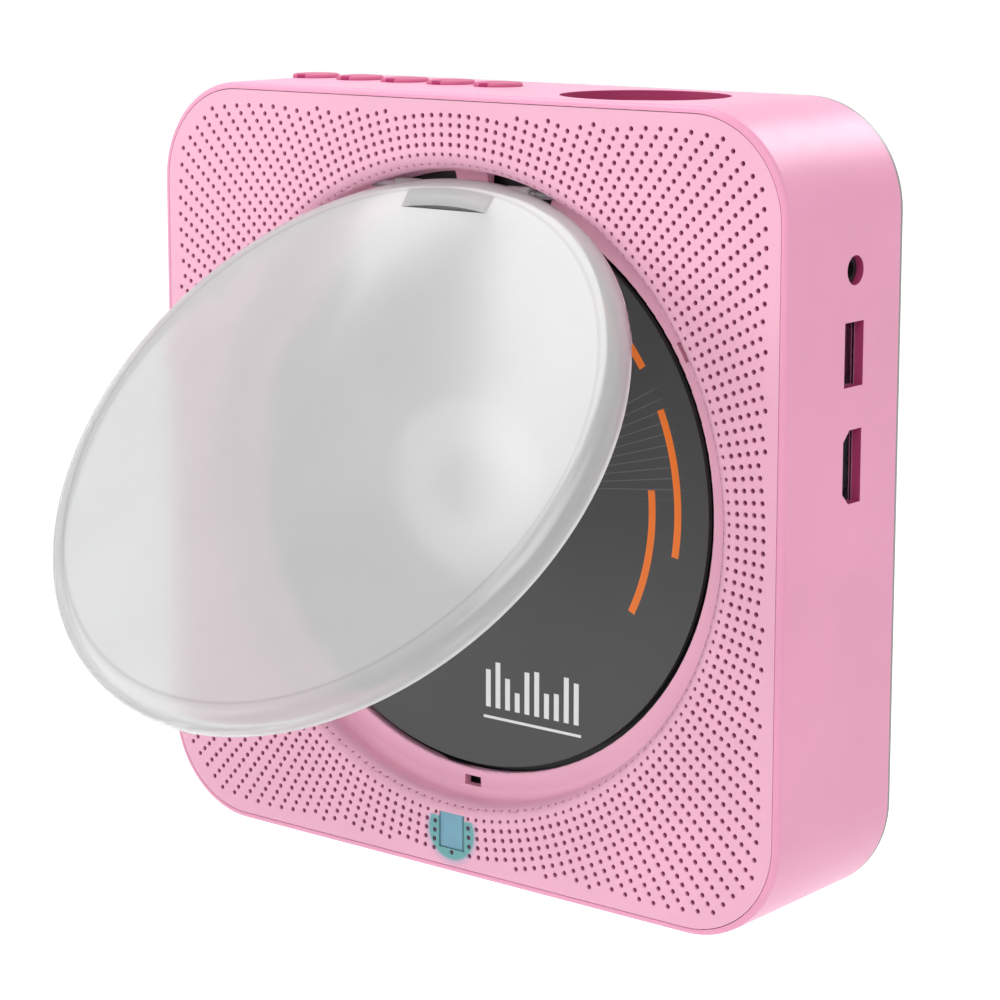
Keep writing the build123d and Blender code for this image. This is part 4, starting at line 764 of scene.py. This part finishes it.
def printed_disc_material():
    """Dark label with three orange arcs, a fan of fine rays, a row of pale bars and a clear middle."""
    chosen = settings().disc
    finish = Finish("disc_print", Specular_IOR_Level=0.4)
    tone = finish.shade(chosen.label, 0.05, 0.02)
    x, y, z = xyz(finish)
    radius = finish.length(x, z)
    angle = finish.math("ARCTAN2", z, x)

    def arc(ring, start, end):
        """A band along a ring, from one angle to another in degrees."""
        middle, half = math.radians((start + end) / 2), math.radians((end - start) / 2)
        return finish.product(finish.near(radius, ring, ARC_HALF_W), finish.near(angle, middle, half, 0.002))

    turn = finish.math("FRACT", finish.math("MULTIPLY", angle, RAYS_PER_RADIAN))
    rays = finish.math("ABSOLUTE", finish.math("SUBTRACT", turn, 0.5))
    fan = finish.product(
        finish.ease(rays, 0.055, 0.030),
        finish.near(angle, math.radians(17.0), math.radians(13.0), 0.01),
        finish.ease(radius, 0.026, 0.034),
        finish.ease(radius, 0.056, 0.050),
        FAN_SHARE,
    )
    printed = finish.mix(fan, tone, FAN_TONE)
    for ring, start, end in ARCS:
        printed = finish.mix(arc(ring, start, end), printed, chosen.accent)
    # a row of pale bars of different heights, low on the right
    cell = finish.math("DIVIDE", x, BAR_PITCH)
    index = finish.math("FLOOR", cell)
    off_centre = finish.math("ABSOLUTE", finish.math("SUBTRACT", finish.math("FRACT", cell), 0.5))
    tall = finish.math("ABSOLUTE", finish.math("SINE", finish.math("MULTIPLY", index, 2.3)))
    top = finish.math("MULTIPLY_ADD", tall, BAR_RISE, BAR_LOWEST_Z)
    bars = finish.product(
        finish.ease(off_centre, 0.27, 0.23),
        finish.math("GREATER_THAN", z, BAR_FOOT_Z),
        finish.math("LESS_THAN", z, top),
        finish.near(x, BARS_X, BARS_HALF_W),
    )
    printed = finish.mix(bars, printed, BAR_TONE)
    underline = finish.product(
        finish.near(z, UNDERLINE_Z, UNDERLINE_HALF), finish.near(x, BARS_X, BARS_HALF_W)
    )
    printed = finish.mix(underline, printed, BAR_TONE)
    clear = finish.ease(radius, CLEAR_RING_R + 0.0001, CLEAR_RING_R - 0.0001)
    printed = finish.mix(clear, printed, CLEAR_TONE)
    finish.link(printed, finish.shader.inputs["Base Color"])
    finish.polish(0.30, 0.42, 0.01)
    return finish.material


BLACK_DRIVE_PARTS = ("disc_tray", "mech_chassis", "pickup_sled", "turntable")
STEEL_DRIVE_PARTS = (
    "hub_balls",
    "spindle_shaft",
    "spindle_motor",
    "guide_rods",
    "chassis_screws",
    "gear_clip",
    "sled_motor",
)
RUBBER_PARTS = ("turntable_pad", "chassis_dampers")
ACETAL_PARTS = ("sled_rack", "idler_gear", "sled_motor_pinion")


class PLAYER_OT_drive(bpy.types.Operator):
    """Finishes the disc, its hub and the drive behind it"""

    bl_idname = "disc_player.drive"
    bl_label = "Disc and drive"

    def execute(self, context):
        paint("disc", printed_disc_material())
        paint("disc_hub", moulded_plastic("hub_grey", (0.045, 0.046, 0.048)).material)
        black_tone = (0.012, 0.012, 0.013)
        black = moulded_plastic("black_plastic", black_tone, low=0.4, high=0.55, strength=0.3).material
        for name in BLACK_DRIVE_PARTS:
            paint(name, black)
        steel = metal("drive_steel", (0.58, 0.58, 0.60), 0.2, 0.35, (1, 8, 1)).material
        for name in STEEL_DRIVE_PARTS:
            paint(name, steel)
        rubber_tone = (0.010, 0.010, 0.010)
        rubber = moulded_plastic("black_rubber", rubber_tone, low=0.7, high=0.85, strength=0.3).material
        for name in RUBBER_PARTS:
            paint(name, rubber)
        acetal = moulded_plastic("white_acetal", (0.78, 0.76, 0.70), low=0.25, high=0.35).material
        for name in ACETAL_PARTS:
            paint(name, acetal)
        lens = Finish("coated_lens", Transmission_Weight=0.9, IOR=1.5)
        lens.shade((0.45, 0.60, 0.95), 0.1, 0.002)
        lens.polish(0.02, 0.05)
        paint("pickup_lens", lens.material)
        return {"FINISHED"}


# ---------------------------------------------------------------- electronics
def teal_window_material():
    """Lit teal window with a painted shadow line down its right side."""
    chosen = settings().light
    finish = Finish("teal_window", Emission_Strength=0.12)
    finish.shader.inputs["Emission Color"].default_value = (*chosen.glow, 1.0)
    tone = finish.shade((0.150, 0.330, 0.450), 0.06, 0.004)
    x, y, z = xyz(finish)
    # painted shadow: a dark line down the right side where the window steps in
    line = finish.near(x, WINDOW_HALF_W - 0.0006, 0.0003)
    finish.link(finish.mix(line, tone, (0.03, 0.12, 0.15)), finish.shader.inputs["Base Color"])
    finish.polish(0.25, 0.35)
    return finish.material


BOARDS = ("main_board", "button_board", "indicator_board")
BLACK_COMPONENTS = (
    "board_chips",
    "tact_switches",
    "remote_receiver",
    "hdmi_tongue",
    "audio_jack",
    "dc_inlet",
)


class PLAYER_OT_electronics(bpy.types.Operator):
    """Finishes the boards, sockets, loudspeakers and the indicator"""

    bl_idname = "disc_player.electronics"
    bl_label = "Electronics"

    def execute(self, context):
        chosen = settings()
        green = circuit_green().material
        for name in BOARDS:
            paint(name, green)
        black_tone = (0.014, 0.014, 0.015)
        black = moulded_plastic("component_black", black_tone, low=0.35, high=0.5, strength=0.2).material
        for name in BLACK_COMPONENTS:
            paint(name, black)
        plated = metal("plated_shell", (0.66, 0.66, 0.68), 0.15, 0.3, (6, 1, 1)).material
        for name in ("usb_shell", "hdmi_shell"):
            paint(name, plated)
        paint("usb_tongue", moulded_plastic("tongue_magenta", chosen.body.magenta).material)
        paint("board_capacitors", metal("can_aluminium", (0.70, 0.71, 0.73), 0.25, 0.4, (1, 10, 1)).material)
        steel = metal("frame_steel", (0.42, 0.43, 0.45), 0.3, 0.45).material
        paper_tone = (0.035, 0.034, 0.034)
        paper = moulded_plastic("cone_paper", paper_tone, 0.8, 0.95, grain=0.0008, strength=0.5).material
        for side in ("left", "right"):
            paint(f"{side}_speaker_frame", steel)
            paint(f"{side}_speaker_magnet", steel)
            paint(f"{side}_speaker_cone", paper)
        paint("board_screws", steel)
        paint("indicator_window", teal_window_material())
        return {"FINISHED"}


# ---------------------------------------------------------------- stage
WORLD_LIGHT, WORLD_SEEN = 0.45, 1.0
FLOOR_LIGHT, FLOOR_SEEN = 0.20, 0.75
FLOOR_Z = -0.32
FLOOR_HALF = 4.0
LAMPS = (
    # name, place, target, size, power
    ("key_lamp", (0.60, -0.80, 0.80), (0.0, -0.02, 0.0), 0.9, 5.5),
    ("fill_lamp", (-0.95, -0.85, 0.25), (0.0, -0.02, 0.0), 0.9, 3.3),
    ("cover_lamp", (-0.27, -0.14, 0.58), (0.03, -0.06, 0.04), 0.30, 1.5),
    ("corner_lamp", (0.16, 0.72, 0.57), (0.08, -0.02, 0.08), 0.38, 3.0),
)
CAMERA_PLACE = (0.3891, -0.5059, 0.1204)
CAMERA_YAW, CAMERA_PITCH, CAMERA_ROLL = 38.96, -9.47, 0.03
CAMERA_LENS = 107.0
CAMERA_SHIFT_Y = -0.1


def seen_directly(tree):
    """1 for camera, glossy and transmission rays and 0 for the rest."""
    path = tree.nodes.new("ShaderNodeLightPath")
    seen = path.outputs["Is Camera Ray"]
    for ray in ("Is Glossy Ray", "Is Transmission Ray"):
        either = tree.nodes.new("ShaderNodeMath")
        either.operation = "MAXIMUM"
        tree.links.new(seen, either.inputs[0])
        tree.links.new(path.outputs[ray], either.inputs[1])
        seen = either.outputs[0]
    return seen


class PLAYER_OT_stage(bpy.types.Operator):
    """Sets the floor, the lamps, the world and the camera"""

    bl_idname = "disc_player.stage"
    bl_label = "Stage"

    def execute(self, context):
        scene = context.scene
        world = bpy.data.worlds.new("pale_world")
        world.use_nodes = True
        tree = world.node_tree
        background = tree.nodes["Background"]
        background.inputs["Color"].default_value = (1.0, 1.0, 1.0, 1.0)
        strength = tree.nodes.new("ShaderNodeMapRange")
        strength.inputs["To Min"].default_value = WORLD_LIGHT
        strength.inputs["To Max"].default_value = WORLD_SEEN
        tree.links.new(seen_directly(tree), strength.inputs["Value"])
        tree.links.new(strength.outputs["Result"], background.inputs["Strength"])
        scene.world = world

        bm = bmesh.new()
        bmesh.ops.create_grid(bm, x_segments=1, y_segments=1, size=FLOOR_HALF)
        floor = temporary("floor", bm)
        floor.location = (0.0, 0.0, FLOOR_Z)
        pale = Finish("pale_floor")
        pale.shader.inputs["Roughness"].default_value = 0.9
        pale.shader.inputs["Specular IOR Level"].default_value = 0.1
        pale.shade((0.90, 0.90, 0.90), 0.004, 0.5)
        glow = pale.shader.inputs["Emission Color"]
        glow.default_value = (1.0, 1.0, 1.0, 1.0)
        level = pale.ease(seen_directly(pale.tree), 0.0, 1.0, FLOOR_LIGHT, FLOOR_SEEN)
        pale.link(level, pale.shader.inputs["Emission Strength"])
        floor.data.materials.append(pale.material)

        for lamp in LAMPS:
            self.lamp(*lamp)

        camera = bpy.data.objects.new("camera", bpy.data.cameras.new("camera"))
        scene.collection.objects.link(camera)
        camera.data.lens = CAMERA_LENS
        camera.data.shift_y = CAMERA_SHIFT_Y
        camera.data.sensor_width = 36.0
        camera.data.clip_start = 0.01
        camera.data.clip_end = 20.0
        angles = (CAMERA_YAW, CAMERA_PITCH, CAMERA_ROLL)
        yaw, pitch, roll = (math.radians(angle) for angle in angles)
        place = Matrix.Translation(CAMERA_PLACE)
        turn = Matrix.Rotation(yaw, 4, "Z") @ Matrix.Rotation(math.radians(90) + pitch, 4, "X")
        camera.matrix_world = place @ turn @ Matrix.Rotation(roll, 4, "Z")
        scene.camera = camera
        scene.view_settings.view_transform = "Standard"
        return {"FINISHED"}

    def lamp(self, name, place, target, size, power):
        """A square area lamp that looks at a target."""
        data = bpy.data.lights.new(name, "AREA")
        data.size = size
        data.energy = power
        lamp = bpy.data.objects.new(name, data)
        bpy.context.scene.collection.objects.link(lamp)
        lamp.location = place
        lamp.rotation_euler = (Vector(target) - Vector(place)).to_track_quat("-Z", "Y").to_euler()


# ---------------------------------------------------------------- panel
class PLAYER_PT_panel(bpy.types.Panel):
    """Lists the steps and the values of the disc player"""

    bl_label = "Disc player"
    bl_space_type = "VIEW_3D"
    bl_region_type = "UI"
    bl_category = "Disc player"

    def draw(self, context):
        column = self.layout.column()
        for step in STEPS:
            column.operator(step.bl_idname)
        for group in ("body", "grille", "cover", "disc", "light"):
            values = getattr(context.scene.disc_player, group)
            box = column.box()
            for key in values.__annotations__:
                box.prop(values, key)


STEPS = (
    PLAYER_OT_stage,
    PLAYER_OT_body,
    PLAYER_OT_front,
    PLAYER_OT_buttons,
    PLAYER_OT_cover,
    PLAYER_OT_drive,
    PLAYER_OT_electronics,
)
CLASSES = (
    BodySettings,
    GrilleSettings,
    CoverSettings,
    DiscSettings,
    LightSettings,
    PlayerSettings,
    *STEPS,
    PLAYER_PT_panel,
)


def register():
    for cls in CLASSES:
        bpy.utils.register_class(cls)
    bpy.types.Scene.disc_player = PointerProperty(type=PlayerSettings)


def unregister():
    del bpy.types.Scene.disc_player
    for cls in reversed(CLASSES):
        bpy.utils.unregister_class(cls)


def main():
    register()
    for step in STEPS:
        group, name = step.bl_idname.split(".")
        getattr(getattr(bpy.ops, group), name)()


if __name__ == "__main__":
    main()
